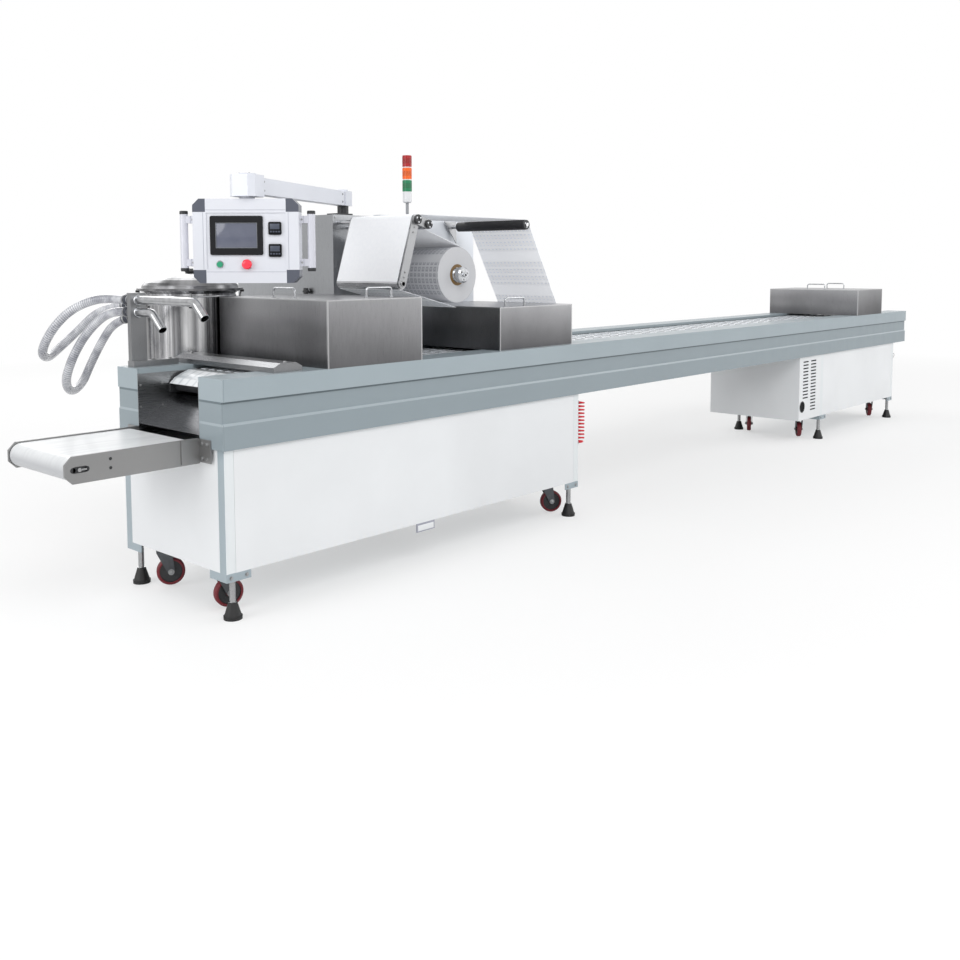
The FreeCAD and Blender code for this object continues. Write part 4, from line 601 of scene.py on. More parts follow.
class Piece:
    """A mesh under construction, with a material for each group of faces."""

    def __init__(self, name):
        self.name = name
        self.mesh = bmesh.new()
        self.finishes = []

    def mark(self, faces, finish):
        if finish not in self.finishes:
            self.finishes.append(finish)
        index = self.finishes.index(finish)
        for face in faces:
            face.material_index = index
            face.smooth = True

    def block(self, finish, low, high, edge=1.0, place=WORLD):
        """A box with rounded edges, between two corners in millimetres of a place."""
        made = bmesh.ops.create_cube(self.mesh, size=1.0)
        verts = made["verts"]
        middle = (Vector(low) + Vector(high)) / 2000
        size = (Vector(high) - Vector(low)) / 1000
        for vert in verts:
            vert.co = Vector(vert.co[axis] * size[axis] for axis in range(3)) + middle
        edges = list({one for vert in verts for one in vert.link_edges})
        faces = set(face for vert in verts for face in vert.link_faces)
        if edge:
            rounded = bmesh.ops.bevel(self.mesh, geom=edges, offset=edge / 1000, segments=2,
                                      profile=0.5, affect="EDGES")
            verts = list({vert for face in rounded["faces"] for vert in face.verts})
            faces = {face for vert in verts for face in vert.link_faces}
        for vert in verts:
            vert.co = place @ vert.co
        self.mark(faces, finish)

    def lathe(self, finish, profile, start, axis, steps=32, place=WORLD):
        """A closed turned form: pairs of radius and height in millimetres, from a start along an axis."""
        axis = Vector(axis).normalized()
        turn = Vector((0, 0, 1)).rotation_difference(axis).to_matrix().to_4x4()
        base = place @ Matrix.Translation(Vector(start) / 1000) @ turn
        rings = []
        for radius, height in profile:
            if radius < 0.001:
                rings.append([self.mesh.verts.new(base @ Vector((0, 0, height / 1000)))])
                continue
            rings.append([self.mesh.verts.new(base @ Vector((
                radius / 1000 * math.cos(angle), radius / 1000 * math.sin(angle), height / 1000)))
                for angle in circle(steps)])
        faces = []
        for low, high in zip(rings, rings[1:]):
            for step in range(steps):
                after = (step + 1) % steps
                if len(low) == 1 and len(high) == 1:
                    continue
                if len(low) == 1:
                    corners = (low[0], high[after], high[step])
                elif len(high) == 1:
                    corners = (low[step], low[after], high[0])
                else:
                    corners = (low[step], low[after], high[after], high[step])
                faces.append(self.mesh.faces.new(corners))
        if len(rings[0]) > 1 and profile[0] != profile[-1]:
            faces.append(self.mesh.faces.new(list(reversed(rings[0]))))
        if len(rings[-1]) > 1 and profile[0] != profile[-1]:
            faces.append(self.mesh.faces.new(rings[-1]))
        self.mark(faces, finish)

    def tube(self, finish, points, radius, segments=12, pitch=None):
        """A tube along points in metres, with a map of its length and its way round."""
        layer = self.mesh.loops.layers.uv.new("Hose") if pitch else None
        frames = []
        side = None
        length = 0.0
        for index, point in enumerate(points):
            before = points[max(index - 1, 0)]
            after = points[min(index + 1, len(points) - 1)]
            ahead = (after - before).normalized()
            if side is None:
                side = ahead.orthogonal().normalized()
            side = (side - ahead * side.dot(ahead)).normalized()
            up = ahead.cross(side)
            if index:
                length += (point - points[index - 1]).length
            ring = []
            for step in range(segments):
                angle = math.tau * step / segments
                way = side * math.cos(angle) + up * math.sin(angle)
                rise = 0.0
                if pitch:
                    rise = max(0.0, math.sin(math.tau * (length * 1000 / pitch + step / segments)))
                ring.append(self.mesh.verts.new(point + way * (radius + 0.9 * rise) / 1000))
            frames.append((ring, length))
        faces = []
        for (low, low_length), (high, high_length) in zip(frames, frames[1:]):
            for step in range(segments):
                after = (step + 1) % segments
                face = self.mesh.faces.new((low[step], low[after], high[after], high[step]))
                faces.append(face)
                if layer:
                    turn = (step / segments, (step + 1) / segments)
                    rise = (low_length * 1000 / pitch, high_length * 1000 / pitch)
                    for loop, uv in zip(face.loops, ((turn[0], rise[0]), (turn[1], rise[0]),
                                                     (turn[1], rise[1]), (turn[0], rise[1]))):
                        loop[layer].uv = uv
        faces.append(self.mesh.faces.new(list(reversed(frames[0][0]))))
        faces.append(self.mesh.faces.new(frames[-1][0]))
        self.mark(faces, finish)

    def finish(self, body, slot, sharp=35):
        """The object, riding on a body."""
        bmesh.ops.recalc_face_normals(self.mesh, faces=self.mesh.faces)
        data = bpy.data.meshes.new(self.name)
        self.mesh.to_mesh(data)
        self.mesh.free()
        for finish in self.finishes:
            data.materials.append(finish.material)
        data.set_sharp_from_angle(angle=math.radians(sharp))
        made = bpy.data.objects.new(self.name, data)
        bpy.context.scene.collection.objects.link(made)
        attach(made, body)
        return made


# Hoses and air lines

UPPER_HOSE = (
    (57, 800, 1299), (57, 905, 1299), (12, 1010, 1300), (-70, 1090, 1255), (-145, 1135, 1165),
    (-165, 1215, 1055), (-85, 1335, 1005), (30, 1440, 1045), (130, 1455, 1120), (195, 1395, 1210),
    (238, 1300, 1248), (271, 1197, 1258),
)

LOWER_HOSE = (
    (57, 800, 1244), (57, 900, 1244), (38, 1000, 1222), (-15, 1070, 1140), (-65, 1110, 1030),
    (-78, 1170, 910), (0, 1275, 840), (110, 1375, 865), (175, 1410, 960), (210, 1350, 1080),
    (238, 1280, 1170), (271, 1197, 1196),
)


def line_through(points, fineness=24):
    """Points read from the smooth spline that a route's points control."""
    curve = bpy.data.curves.new("route", "CURVE")
    curve.dimensions = "3D"
    spline = curve.splines.new("NURBS")
    spline.points.add(len(points) - 1)
    for knot, point in zip(spline.points, points):
        knot.co = (*point, 1)
    spline.order_u = 3
    spline.use_endpoint_u = True
    spline.resolution_u = fineness
    holder = bpy.data.objects.new("route", curve)
    mesh = bpy.data.meshes.new_from_object(holder)
    line = [vert.co.copy() for vert in mesh.vertices]
    bpy.data.objects.remove(holder)
    bpy.data.meshes.remove(mesh)
    return line


def even(line, step):
    """The same line with its points a small, equal step apart."""
    points = [line[0]]
    carried = 0.0
    for before, after in zip(line, line[1:]):
        run = (after - before).length
        reach = step - carried
        while reach <= run:
            points.append(before.lerp(after, reach / run))
            reach += step
        carried = run - (reach - step)
    points.append(line[-1])
    return points


def hose(node, route):
    """A clear hose with its dark end cuffs."""
    line = line_through([spot(*point) for point in route], 60)
    tube = Piece(node + "_skin")
    tube.tube(HOSE, even(line, 0.0025), 20.0, 24, pitch=10.0)
    skin = tube.finish("base", "hose_plastic", 60)
    cuffs = Piece(node + "_cuffs")
    ends = ((line[0], line[1] - line[0], 36), (line[-1], line[-2] - line[-1], 36))
    for end, ahead, long in ends:
        cuffs.lathe(CUFF, ((21.2, 0), (23.6, 0), (24.2, 4), (24.2, 14), (23.2, 17), (23.2, long - 8),
                           (22.2, long), (21.2, long), (21.2, 0)), end * 1000, ahead, 28, Matrix())
        cuffs.lathe(BOLT, ((23.3, 19), (24.8, 19), (24.8, 27), (23.3, 27), (23.3, 19)),
                    end * 1000, ahead, 28, Matrix())
    sleeves = cuffs.finish("base", "dark_plastic")
    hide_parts(node)


def air_coil(name, x, y, top, low, radius, turns, wall, replaced):
    """A coiled air line between two fittings on the wall beside it."""
    axis = line_through([spot(x, y, top), spot(x, y, (top + low) / 2 + 1), spot(x, y, low)], 8)
    high, deep = axis[0].z * 1000, axis[-1].z * 1000
    points = [spot(wall + 3, y - 6, high + 6), spot(wall + 12, y - radius, high + 4)]
    steps = 10
    for step in range(turns * steps + 1):
        angle = -math.pi / 2 + math.tau * step / steps
        z = high - (high - deep) * step / (turns * steps)
        points.append(spot(x + radius * math.cos(angle), y + radius * math.sin(angle), z))
    points += [spot(wall + 12, y - radius, deep - 3), spot(wall + 3, y - 6, deep - 5)]
    line = line_through(points, 6)
    coil = Piece(name)
    coil.tube(COIL, line, 5.0, 10)
    coil_object = coil.finish("base", "coil_plastic", 60)
    ends = Piece(name + "_fittings")
    for end in (line[0], line[-1]):
        ends.lathe(BOLT, ((0, -3), (9, -3), (9, 2), (6.5, 4), (6.5, 9), (4.2, 11), (4.2, 3), (0, 3)),
                   (end - WORLD.to_translation()) * 1000 - Vector((2, 0, 0)), (1, 0, 0), 18)
    fittings = ends.finish("base", "bright_steel")
    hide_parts(replaced)


def curly_lines():
    air_coil("long_air_coil", 2435.3, 30, 655, 430, 24.6, 11, 2405, "air_coils")
    air_coil("short_air_coil", REGULATOR_X, REGULATOR_Y, 474, 392, 14, 5, 7397, "air_coils")


# Camera, light and floor

CAMERA_PLACE = (-2285.0, -3420.55, 1458.34)
CAMERA_TURN = (41.94, 4.84, 0.1)
FOCAL_LENGTH = 37.905
SHIFT_X, SHIFT_Y = 0.0017, -0.1363


def camera():
    """The photograph's own view."""
    yaw, pitch, roll = (math.radians(angle) for angle in CAMERA_TURN)
    ahead = Vector((math.cos(yaw) * math.cos(pitch), math.sin(yaw) * math.cos(pitch), -math.sin(pitch)))
    right = Vector((math.sin(yaw), -math.cos(yaw), 0))
    down = ahead.cross(right)
    across = right * math.cos(roll) + down * math.sin(roll)
    down = down * math.cos(roll) - right * math.sin(roll)
    data = bpy.data.cameras.new("camera")
    data.lens = FOCAL_LENGTH
    data.sensor_width = 36
    data.shift_x, data.shift_y = SHIFT_X, SHIFT_Y
    data.clip_end = 200
    eye = bpy.data.objects.new("camera", data)
    bpy.context.scene.collection.objects.link(eye)
    turn = Matrix((across, -down, -ahead)).transposed().to_4x4()
    eye.matrix_world = Matrix.Translation(spot(*CAMERA_PLACE)) @ turn
    bpy.context.scene.camera = eye


def lamp(name, place, target, size, power):
    data = bpy.data.lights.new(name, "AREA")
    data.shape = "DISK"
    data.size = size
    data.energy = power
    made = bpy.data.objects.new(name, data)
    bpy.context.scene.collection.objects.link(made)
    way = (Vector(target) - Vector(place)).to_track_quat("-Z", "Y")
    made.matrix_world = Matrix.Translation(place) @ way.to_matrix().to_4x4()


def light():
    lamp("key", (-5.5, -7.5, 7.0), (0, 0, 0.9), 6.0, 368)
    lamp("fill", (6.0, -6.0, 4.5), (1.0, 0, 0.9), 7.0, 208)
    lamp("left", (-9.0, 0.5, 3.4), (-3.5, 0, 0.8), 5.0, 172)
    lamp("back", (1.0, 8.0, 6.0), (0, 0, 1.0), 7.0, 270)
    world = bpy.data.worlds.new("studio")
    bpy.context.scene.world = world
    world.use_nodes = True
    tree = world.node_tree
    tree.nodes.clear()
    link = tree.links.new
    path = tree.nodes.new("ShaderNodeLightPath")
    seen = tree.nodes.new("ShaderNodeBackground")
    ambient = tree.nodes.new("ShaderNodeBackground")
    for background, strength in ((seen, 1.0), (ambient, 0.6)):
        background.inputs["Color"].default_value = (1, 1, 1, 1)
        background.inputs["Strength"].default_value = strength
    factor = path.outputs["Is Camera Ray"]
    for ray in ("Is Glossy Ray", "Is Transmission Ray"):
        either = tree.nodes.new("ShaderNodeMath")
        either.operation = "MAXIMUM"
        link(factor, either.inputs[0])
        link(path.outputs[ray], either.inputs[1])
        factor = either.outputs[0]
    blend = tree.nodes.new("ShaderNodeMixShader")
    link(factor, blend.inputs[0])
    link(ambient.outputs[0], blend.inputs[1])
    link(seen.outputs[0], blend.inputs[2])
    out = tree.nodes.new("ShaderNodeOutputWorld")
    link(blend.outputs[0], out.inputs["Surface"])


def floor():
    """A pale floor that keeps the machine's soft shadow."""
    data = bpy.data.meshes.new("floor")
    far = 60.0
    data.from_pydata([(-far, -far, 0), (far, -far, 0), (far, far, 0), (-far, far, 0)], [], [(0, 1, 2, 3)])
    made = bpy.data.objects.new("floor", data)
    bpy.context.scene.collection.objects.link(made)
    finish = Finish("floor", (245, 245, 245), 0.9, Specular_IOR_Level=0.0)
    finish.paint((0.92, 0.92, 0.92, 1))
    near, far_off = 4.5, 11.0
    away = finish.node("ShaderNodeVectorMath", {"operation": "LENGTH"}, finish.place(), output=1)
    share = finish.spread(away, near, far_off, 0.5, 1.0) * finish.node("ShaderNodeLightPath", {})
    shown = finish.node("ShaderNodeMixShader", {}, share, Value(finish, finish.shader.outputs[0]),
                        finish.node("ShaderNodeEmission", {}))
    finish.feed(finish.tree.nodes["Material Output"].inputs["Surface"], shown)
    data.materials.append(finish.material)


# Small parts that repeat, each made by a node tree

class Grower:
    """A node tree that sets one small form at every point of a mesh, turned by the point's turn."""

    def __init__(self, name, **sizes):
        self.group = bpy.data.node_groups.new(name, "GeometryNodeTree")
        face = self.group.interface
        face.new_socket("Places", in_out="INPUT", socket_type="NodeSocketGeometry")
        kinds = {float: "NodeSocketFloat", int: "NodeSocketInt", Vector: "NodeSocketVector"}
        for label, kind in sizes.items():
            face.new_socket(label, in_out="INPUT", socket_type=kinds[kind])
        face.new_socket("Finish", in_out="INPUT", socket_type="NodeSocketMaterial")
        face.new_socket("Geometry", in_out="OUTPUT", socket_type="NodeSocketGeometry")
        self.start = self.group.nodes.new("NodeGroupInput")

    def node(self, kind, settings=None, **inputs):
        """A node with its settings first, then its inputs: values or other nodes' sockets."""
        made = self.group.nodes.new(kind)
        for key, value in (settings or {}).items():
            setattr(made, key, value)
        for key, value in inputs.items():
            socket = made.inputs[key.replace("_", " ")]
            if isinstance(value, bpy.types.NodeSocket):
                self.group.links.new(value, socket)
            else:
                socket.default_value = value
        return made.outputs[0]

    def size(self, label):
        return self.start.outputs[label]

    def times(self, socket, factor):
        made = self.group.nodes.new("ShaderNodeMath")
        made.operation = "MULTIPLY"
        self.group.links.new(socket, made.inputs[0])
        made.inputs[1].default_value = factor
        return made.outputs[0]

    def risen(self, form, height):
        """A form moved up by a height."""
        return self.node("GeometryNodeTransform", Geometry=form,
                         Translation=self.node("ShaderNodeCombineXYZ", Z=height))

    def joined(self, *forms):
        made = self.group.nodes.new("GeometryNodeJoinGeometry")
        for form in reversed(forms):
            self.group.links.new(form, made.inputs[0])
        return made.outputs[0]

    def close(self, form):
        """Set the form at every place, make it real and give it its finish."""
        turn = self.node("GeometryNodeInputNamedAttribute", {"data_type": "FLOAT_VECTOR"}, Name="turn")
        spread = self.group.nodes.new("GeometryNodeInstanceOnPoints")
        turned = self.group.nodes.new("FunctionNodeEulerToRotation")
        link = self.group.links.new
        link(turn, turned.inputs[0])
        link(self.start.outputs["Places"], spread.inputs["Points"])
        link(form, spread.inputs["Instance"])
        link(turned.outputs[0], spread.inputs["Rotation"])
        real = self.node("GeometryNodeRealizeInstances", Geometry=spread.outputs[0])
        dressed = self.node("GeometryNodeSetMaterial", Geometry=real, Material=self.size("Finish"))
        out = self.group.nodes.new("NodeGroupOutput")
        link(dressed, out.inputs["Geometry"])
        return self.group


def bolt_tree():
    """A hexagon head on a washer."""
    tree = Grower("hex_bolt", Radius=float, Height=float)
    radius, height = tree.size("Radius"), tree.size("Height")
    washer = tree.node("GeometryNodeMeshCylinder", Vertices=16, Radius=tree.times(radius, 1.45),
                       Depth=tree.times(height, 0.25))
    head = tree.node("GeometryNodeMeshCylinder", Vertices=6, Radius=radius,
                     Depth=tree.times(height, 0.75))
    crown = tree.node("GeometryNodeMeshCone", Vertices=6, Radius_Top=tree.times(radius, 0.8),
                      Radius_Bottom=radius, Depth=tree.times(height, 0.12))
    return tree.close(tree.joined(tree.risen(washer, tree.times(height, 0.125)),
                                  tree.risen(head, tree.times(height, 0.6)),
                                  tree.risen(crown, tree.times(height, 0.97))))


def rod_tree():
    """A short rod centred on its place."""
    tree = Grower("short_rod", Radius=float, Length=float, Sides=int)
    body = tree.node("GeometryNodeMeshCylinder", Vertices=tree.size("Sides"), Radius=tree.size("Radius"),
                     Depth=tree.size("Length"))
    return tree.close(body)


def block_tree():
    """A plate with a thinner, smaller plate on it, so that its edge reads as rounded."""
    tree = Grower("small_block", Size=Vector)
    size = tree.size("Size")
    low = tree.node("GeometryNodeMeshCube", Size=size)
    smaller = tree.group.nodes.new("ShaderNodeVectorMath")
    smaller.operation = "MULTIPLY"
    tree.group.links.new(size, smaller.inputs[0])
    smaller.inputs[1].default_value = (0.86, 0.8, 1.5)
    top = tree.node("GeometryNodeMeshCube", Size=smaller.outputs[0])
    return tree.close(tree.joined(low, top))


BOLTS = bolt_tree()
RODS = rod_tree()
BLOCKS = block_tree()


def facing(way):
    """The turn that points a form's own z along a way."""
    return Vector(way).to_track_quat("Z", "Y").to_euler()


def grow(name, body, slot, finish, tree, places, **sizes):
    """Grow one form at places, pairs of a point and a turn, into a plain mesh on a body."""
    data = bpy.data.meshes.new(name + "_places")
    data.from_pydata([point for point, turn in places], [], [])
    turns = data.attributes.new("turn", "FLOAT_VECTOR", "POINT")
    for index, (point, turn) in enumerate(places):
        turns.data[index].vector = turn
    holder = bpy.data.objects.new(name + "_places", data)
    bpy.context.scene.collection.objects.link(holder)
    modifier = holder.modifiers.new("grow", "NODES")
    modifier.node_group = tree
    sizes["Finish"] = finish.material
    for socket in tree.interface.items_tree:
        if socket.item_type == "SOCKET" and socket.in_out == "INPUT" and socket.name in sizes:
            modifier[socket.identifier] = sizes[socket.name]
    bpy.context.view_layer.update()
    seen = holder.evaluated_get(bpy.context.evaluated_depsgraph_get())
    mesh = bpy.data.meshes.new_from_object(seen)
    holder.modifiers.remove(modifier)
    bpy.data.objects.remove(holder)
    bpy.data.meshes.remove(data)
    mesh.name = name
    mesh.shade_smooth()
    mesh.set_sharp_from_angle(angle=math.radians(35))
    made = bpy.data.objects.new(name, mesh)
    bpy.context.scene.collection.objects.link(made)
    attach(made, body)
    return made


def bolts(name, body, finish, places, radius, height, frame_at=WORLD):
    """Bolts at points in millimetres of a frame, each with the way that it faces."""
    spots = []
    for x, y, z, way in places:
        heading = frame_at.to_3x3() @ Vector(way)
        spots.append((frame_at @ (Vector((x, y, z)) / 1000), facing(heading)))
    return grow(name, body, "bright_steel", finish, BOLTS, spots, Radius=radius / 1000,
                Height=height / 1000)


# Beams, bed and film

def beam_details():
    """Screws of the liner and of the beam ends, and the chains' clips along both edges."""
    inside = [(x, 646.8, z, (0, -1, 0)) for x in (13, 120, 230) for z in (926, 830)]
    inside += [(x, 173.2, z, (0, 1, 0)) for x in (13, 120, 230) for z in (926, 830)]
    bolts("liner_screws", "base", BOLT, inside, 4.0, 3.2)
    under = [(x, y, 710.3, (0, 0, -1)) for x in (2700, 3600, 4500, 5200) for y in (60, 760)]
    bolts("beam_bolts", "base", BOLT, under, 9, 7)
    pitch = 25.4
    clips = [(spot(300 + pitch * index, y, 980.2), (0, 0, 0)) for y in (186.5, 633.5)
             for index in range(int((7340 - 300) / pitch))]
    grow("chain_clips", "base", "dark_plastic", CHAIN, BLOCKS, clips, Size=(0.0168, 0.0125, 0.0024))
    rollers = [(point + Vector((0, 0.0085 if point.y > 0 else -0.0085, -0.0045)), facing((0, 1, 0)))
               for point, turn in clips]
    grow("chain_rollers", "base", "dark_plastic", BOLT, RODS, rollers, Radius=0.004, Length=0.003,
         Sides=8)
    packs = [(spot(385 + 190 * row, 218 + 64 * column, 979.9), (0, 0, 0)) for row in range(37)
             for column in range(7)]
    grow("formed_packs", "base", "film", PACK, BLOCKS, packs, Size=(0.160, 0.044, 0.0026))
    barrels = [(point + Vector((0.01, 0, 0.0004)), facing((1, 0, 0))) for point, turn in packs]
    grow("packed_barrels", "base", "film", GREY, RODS, barrels, Radius=0.0034, Length=0.096, Sides=8)


def conveyor_details():
    """The belt's tension slots, the holes of the side plates and the brackets' bolts."""
    piece = Piece("tension_slots")
    for y, out in ((167.9, -1), (652.1, 1)):
        low, high = min(y, y + out * 0.6), max(y, y + out * 0.6)
        piece.block(BLACK, (-541, low, 684.5), (-487, high, 705.5), 0)
        for x in (-541, -487):
            piece.lathe(BLACK, ((0, 0), (10.5, 0), (10.5, 0.6), (0, 0.6)), (x, y, 695), (0, out, 0), 24)
        piece.lathe(BOLT, ((0, 0), (8.5, 0), (8.5, 4), (6.5, 5.5), (0, 5.5)), (-516, y, 695),
                    (0, out, 0), 6)
        piece.block(BOLT, (-508, min(y, y + out * 3), 691.5), (-488, max(y, y + out * 3), 698.5), 0.8)
        for x in (-392, -77):
            for z in (719.5, 684.5):
                piece.lathe(BLACK, ((0, 0), (6.4, 0), (6.4, 0.5), (0, 0.5)), (x, y, z), (0, out, 0), 20)
    piece.finish("base", "dark_plastic")
    heads = [(-5.2, y, z, (-1, 0, 0)) for y in (146, 110, 674, 710) for z in (728, 666)]
    bolts("bracket_bolts", "base", BOLT, heads, 6.5, 5)


# Cabinets, feet and casters

def cabinet_details():
    """Painted shade as dark plates in the louvre mouths and the cable hole, with their rolled edges, the lug, the
    bolts and the locks.
    """
    # painted shade: thin dark plates stand in the louvre mouths, where there is only shade
    slots = [(spot(x, 20.4, 668 - 26.4 * index), (0, 0, 0)) for x, count in ((5478, 12), (5622, 16))
             for index in range(count)]
    grow("louvre_slots", "base", "dark_plastic", DARK, BLOCKS, slots, Size=(0.098, 0.002, 0.0108))
    # painted shade: a dark disc in the cable hole, inside its rolled edge
    hole = Piece("cable_hole_shade")
    hole.lathe(DARK, ((0, 0), (41.6, 0), (41.6, 1.5), (0, 1.5)), (5421, 21.6, 308), (0, -1, 0), 48)
    hole.lathe(BLACK, ((39, 0), (46, 0), (46, 1.6), (42, 2.4), (39, 1.8), (39, 0)), (5421, 18, 308),
               (0, -1, 0), 48)
    hole.finish("base", "dark_plastic")
    hoods = [(spot(x, 17.4, 668 - 26.4 * index + 6.6), facing((1, 0, 0)))
             for x, count in ((5478, 12), (5622, 16)) for index in range(count)]
    grow("louvre_hoods", "base", "cabinet_enamel", CABINET, RODS, hoods, Radius=0.0013, Length=0.100,
         Sides=10)
    lug = Piece("lifting_lug")
    lug.block(LINE, (1094, 19, 156), (1218, 24, 200), 1.2)
    lug.block(CABINET, (1102, 17.6, 162), (1210, 19.2, 190), 0.6)
    lug.finish("base", "post_enamel")
    corners = [(x, y, 182, (0, out, 0)) for left, right in ((12, 2405), (5767, 7397))
               for x in (left + 22, left + 98, right - 98, right - 22)
               for y, out in ((17.8, -1), (802.2, 1))]
    bolts("corner_bolts", "base", BOLT, corners, 6, 4.5)
    locks = Piece("panel_locks")
    for x in (200, 2217, 5960, 7204):
        locks.lathe(PLATED, ((0, 0), (13, 0), (13, 2), (10, 3.4), (3, 3.4), (3, 2.4), (0, 2.4)),
                    (x, 802.2, 560), (0, 1, 0), 28)
    locks.finish("base", "bright_steel")


def foot_details():
    """Threads on the stems, and ribs round the rubber pads."""
    feet = [(x, y) for x in (60, 2356, 5815, 7364) for y in (50, 770)]
    threads = [(spot(x, y, 78 + 5.6 * step), (0, 0, 0)) for x, y in feet for step in range(15)]
    rings = [(spot(x, y, 12), (0, 0, 0)) for x, y in feet]
    grow("foot_threads", "base", "bright_steel", BOLT, RODS, threads, Radius=0.0135, Length=0.0026,
         Sides=18)
    grow("pad_rings", "base", "foot_rubber", RUBBER, RODS, rings, Radius=0.0392, Length=0.006, Sides=36)


def caster_details():
    """Dark wheel cores with spokes, and axle nuts, for each caster."""
    for name, x, y, turn in CASTERS:
        place = turned_frame(x, y, math.radians(turn))
        core = Piece(name + "_core")
        for out in (-1, 1):
            core.lathe(CORE, ((16.5, 0), (49.2, 0), (49.2, 2.4), (42, 3.4), (30, 1.6), (20, 3.8),
                              (16.5, 3.8), (16.5, 0)), (28, out * 10.1, 70.5), (0, out, 0), 40, place)
            for angle in circle(5, 0.3):
                core.lathe(BLACK, ((0, 0), (4.6, 0), (4.6, 1.2), (0, 1.2)),
                           (28 + 32 * math.cos(angle), out * 12.0, 70.5 + 32 * math.sin(angle)),
                           (0, out, 0), 12, place)
        core.finish(name + "_wheel_body", "tread_rubber")
        nuts = [(28, -26.1, 70.5, (0, -1, 0)), (28, 26.1, 70.5, (0, 1, 0))]
        bolts(name + "_axle_nuts", name + "_swivel_body", BOLT, nuts, 9.5, 7, place)


# Covers, bar, suction post and barrel

def cover_details():
    """Washers at the feet of the handles, the bar's bolts and the suction pipes' collars."""
    feet = []
    for x, y, z, along in ((622, 410, 1300, "y"), (982, 150, 1300, "x"), (1919, 90, 1228, "x"),
                           (6530, 410, 1223, "y"), (6958, 410, 1223, "y")):
        for side in (-80, 80):
            feet.append((spot(x + (side if along == "x" else 0), y + (side if along == "y" else 0),
                              z + 1.4), (0, 0, 0)))
    grow("handle_feet", "base", "bright_steel", PLATED, RODS, feet, Radius=0.0105, Length=0.0026,
         Sides=24)
    ends = [(356, 62, 1040.2, (0, 0, 1)), (356, 778, 1040.2, (0, 0, 1)),
            (130, 733, 1027.2, (0, 0, 1)), (215, 733, 1027.2, (0, 0, 1))]
    bolts("bar_bolts", "base", BOLT, ends, 7.5, 5.5)
    collars = Piece("pipe_collars")
    for z in (1299, 1244):
        collars.lathe(PLATED, ((19.7, 0), (25, 0), (25, 5), (23, 8), (19.7, 8), (19.7, 0)),
                      (57, 723.8, z), (0, -1, 0), 36)
        collars.lathe(PLATED, ((21.4, 0), (25, 0), (25, 4), (21.4, 4), (21.4, 0)), (57, 753.2, z),
                      (0, 1, 0), 36)
    collars.finish("base", "bright_steel")


def barrel_details():
    """Hoops, toggle clamps under the lid's lip, and the lid's grip."""
    hoops = Piece("barrel_hoops")
    for z in (952, 1296):
        hoops.lathe(PIPE, ((219.8, 0), (222.6, 1), (223.6, 5), (222.6, 9), (219.8, 10), (219.8, 0)),
                    (BARREL_X, BARREL_Y, z), (0, 0, 1), 96)
    hoops.lathe(BLACK, ((16.2, 0), (24, 2), (25.5, 8), (22, 14), (16.2, 15), (16.2, 0)),
                (BARREL_X, BARREL_Y, 1414), (0, 0, 1), 36)
    hoops.finish("base", "bright_steel")
    bodies = []
    levers = []
    pads = []
    middle = spot(BARREL_X, BARREL_Y, 0)
    for angle in circle(4, math.radians(-122)):
        turn = (0, 0, angle)
        out = Vector((math.cos(angle), math.sin(angle), 0))
        bodies.append((middle + out * 0.2285 + Vector((0, 0, 1.272)), turn))
        levers.append((middle + out * 0.240 + Vector((0, 0, 1.296)),
                       facing((out.x * 0.25, out.y * 0.25, 1))))
        pads.append((middle + out * 0.252 + Vector((0, 0, 1.3245)), turn))
    grow("clamp_bodies", "base", "bright_steel", BLACK, BLOCKS, bodies, Size=(0.014, 0.026, 0.034))
    grow("clamp_levers", "base", "bright_steel", BOLT, RODS, levers, Radius=0.0042, Length=0.058,
         Sides=12)
    grow("clamp_pads", "base", "dark_plastic", BLACK, BLOCKS, pads, Size=(0.020, 0.018, 0.008))


def housing_details():
    """The star knob, the door's hinges and the screws of the white panel."""
    knob = Piece("star_knob")
    knob.lathe(BOLT, ((0, 0), (9, 0), (9, 3), (5.5, 4), (5.5, 14), (0, 14)), (1220, 979, 1308),
               (-1, 0, 0), 24)
    knob.lathe(BLACK, ((0, 12), (13, 12), (15, 15), (15, 24), (12, 27), (0, 28)), (1220, 979, 1308),
               (-1, 0, 0), 24)
    knob.finish("base", "dark_plastic")
    lobes = [(spot(1201, 979 + 15 * math.cos(angle), 1308 + 15 * math.sin(angle)), facing((1, 0, 0)))
             for angle in circle(6)]
    grow("knob_lobes", "base", "dark_plastic", BLACK, RODS, lobes, Radius=0.0062, Length=0.012, Sides=14)
    hinges = [(spot(1222.5, 1622, z), (0, 0, 0)) for z in (260, 900, 1520)]
    grow("door_hinges", "base", "bright_steel", BOLT, RODS, hinges, Radius=0.006, Length=0.08, Sides=14)
    screws = [(x, 765.7, z, (0, -1, 0)) for x in (1580, 2310) for z in (1715, 1300)]
    screws += [(x, 765.7, z, (0, -1, 0)) for x in (1236, 1542) for z in (1704, 1440)]
    bolts("panel_screws", "base", BOLT, screws, 4.5, 3)


# Paper path

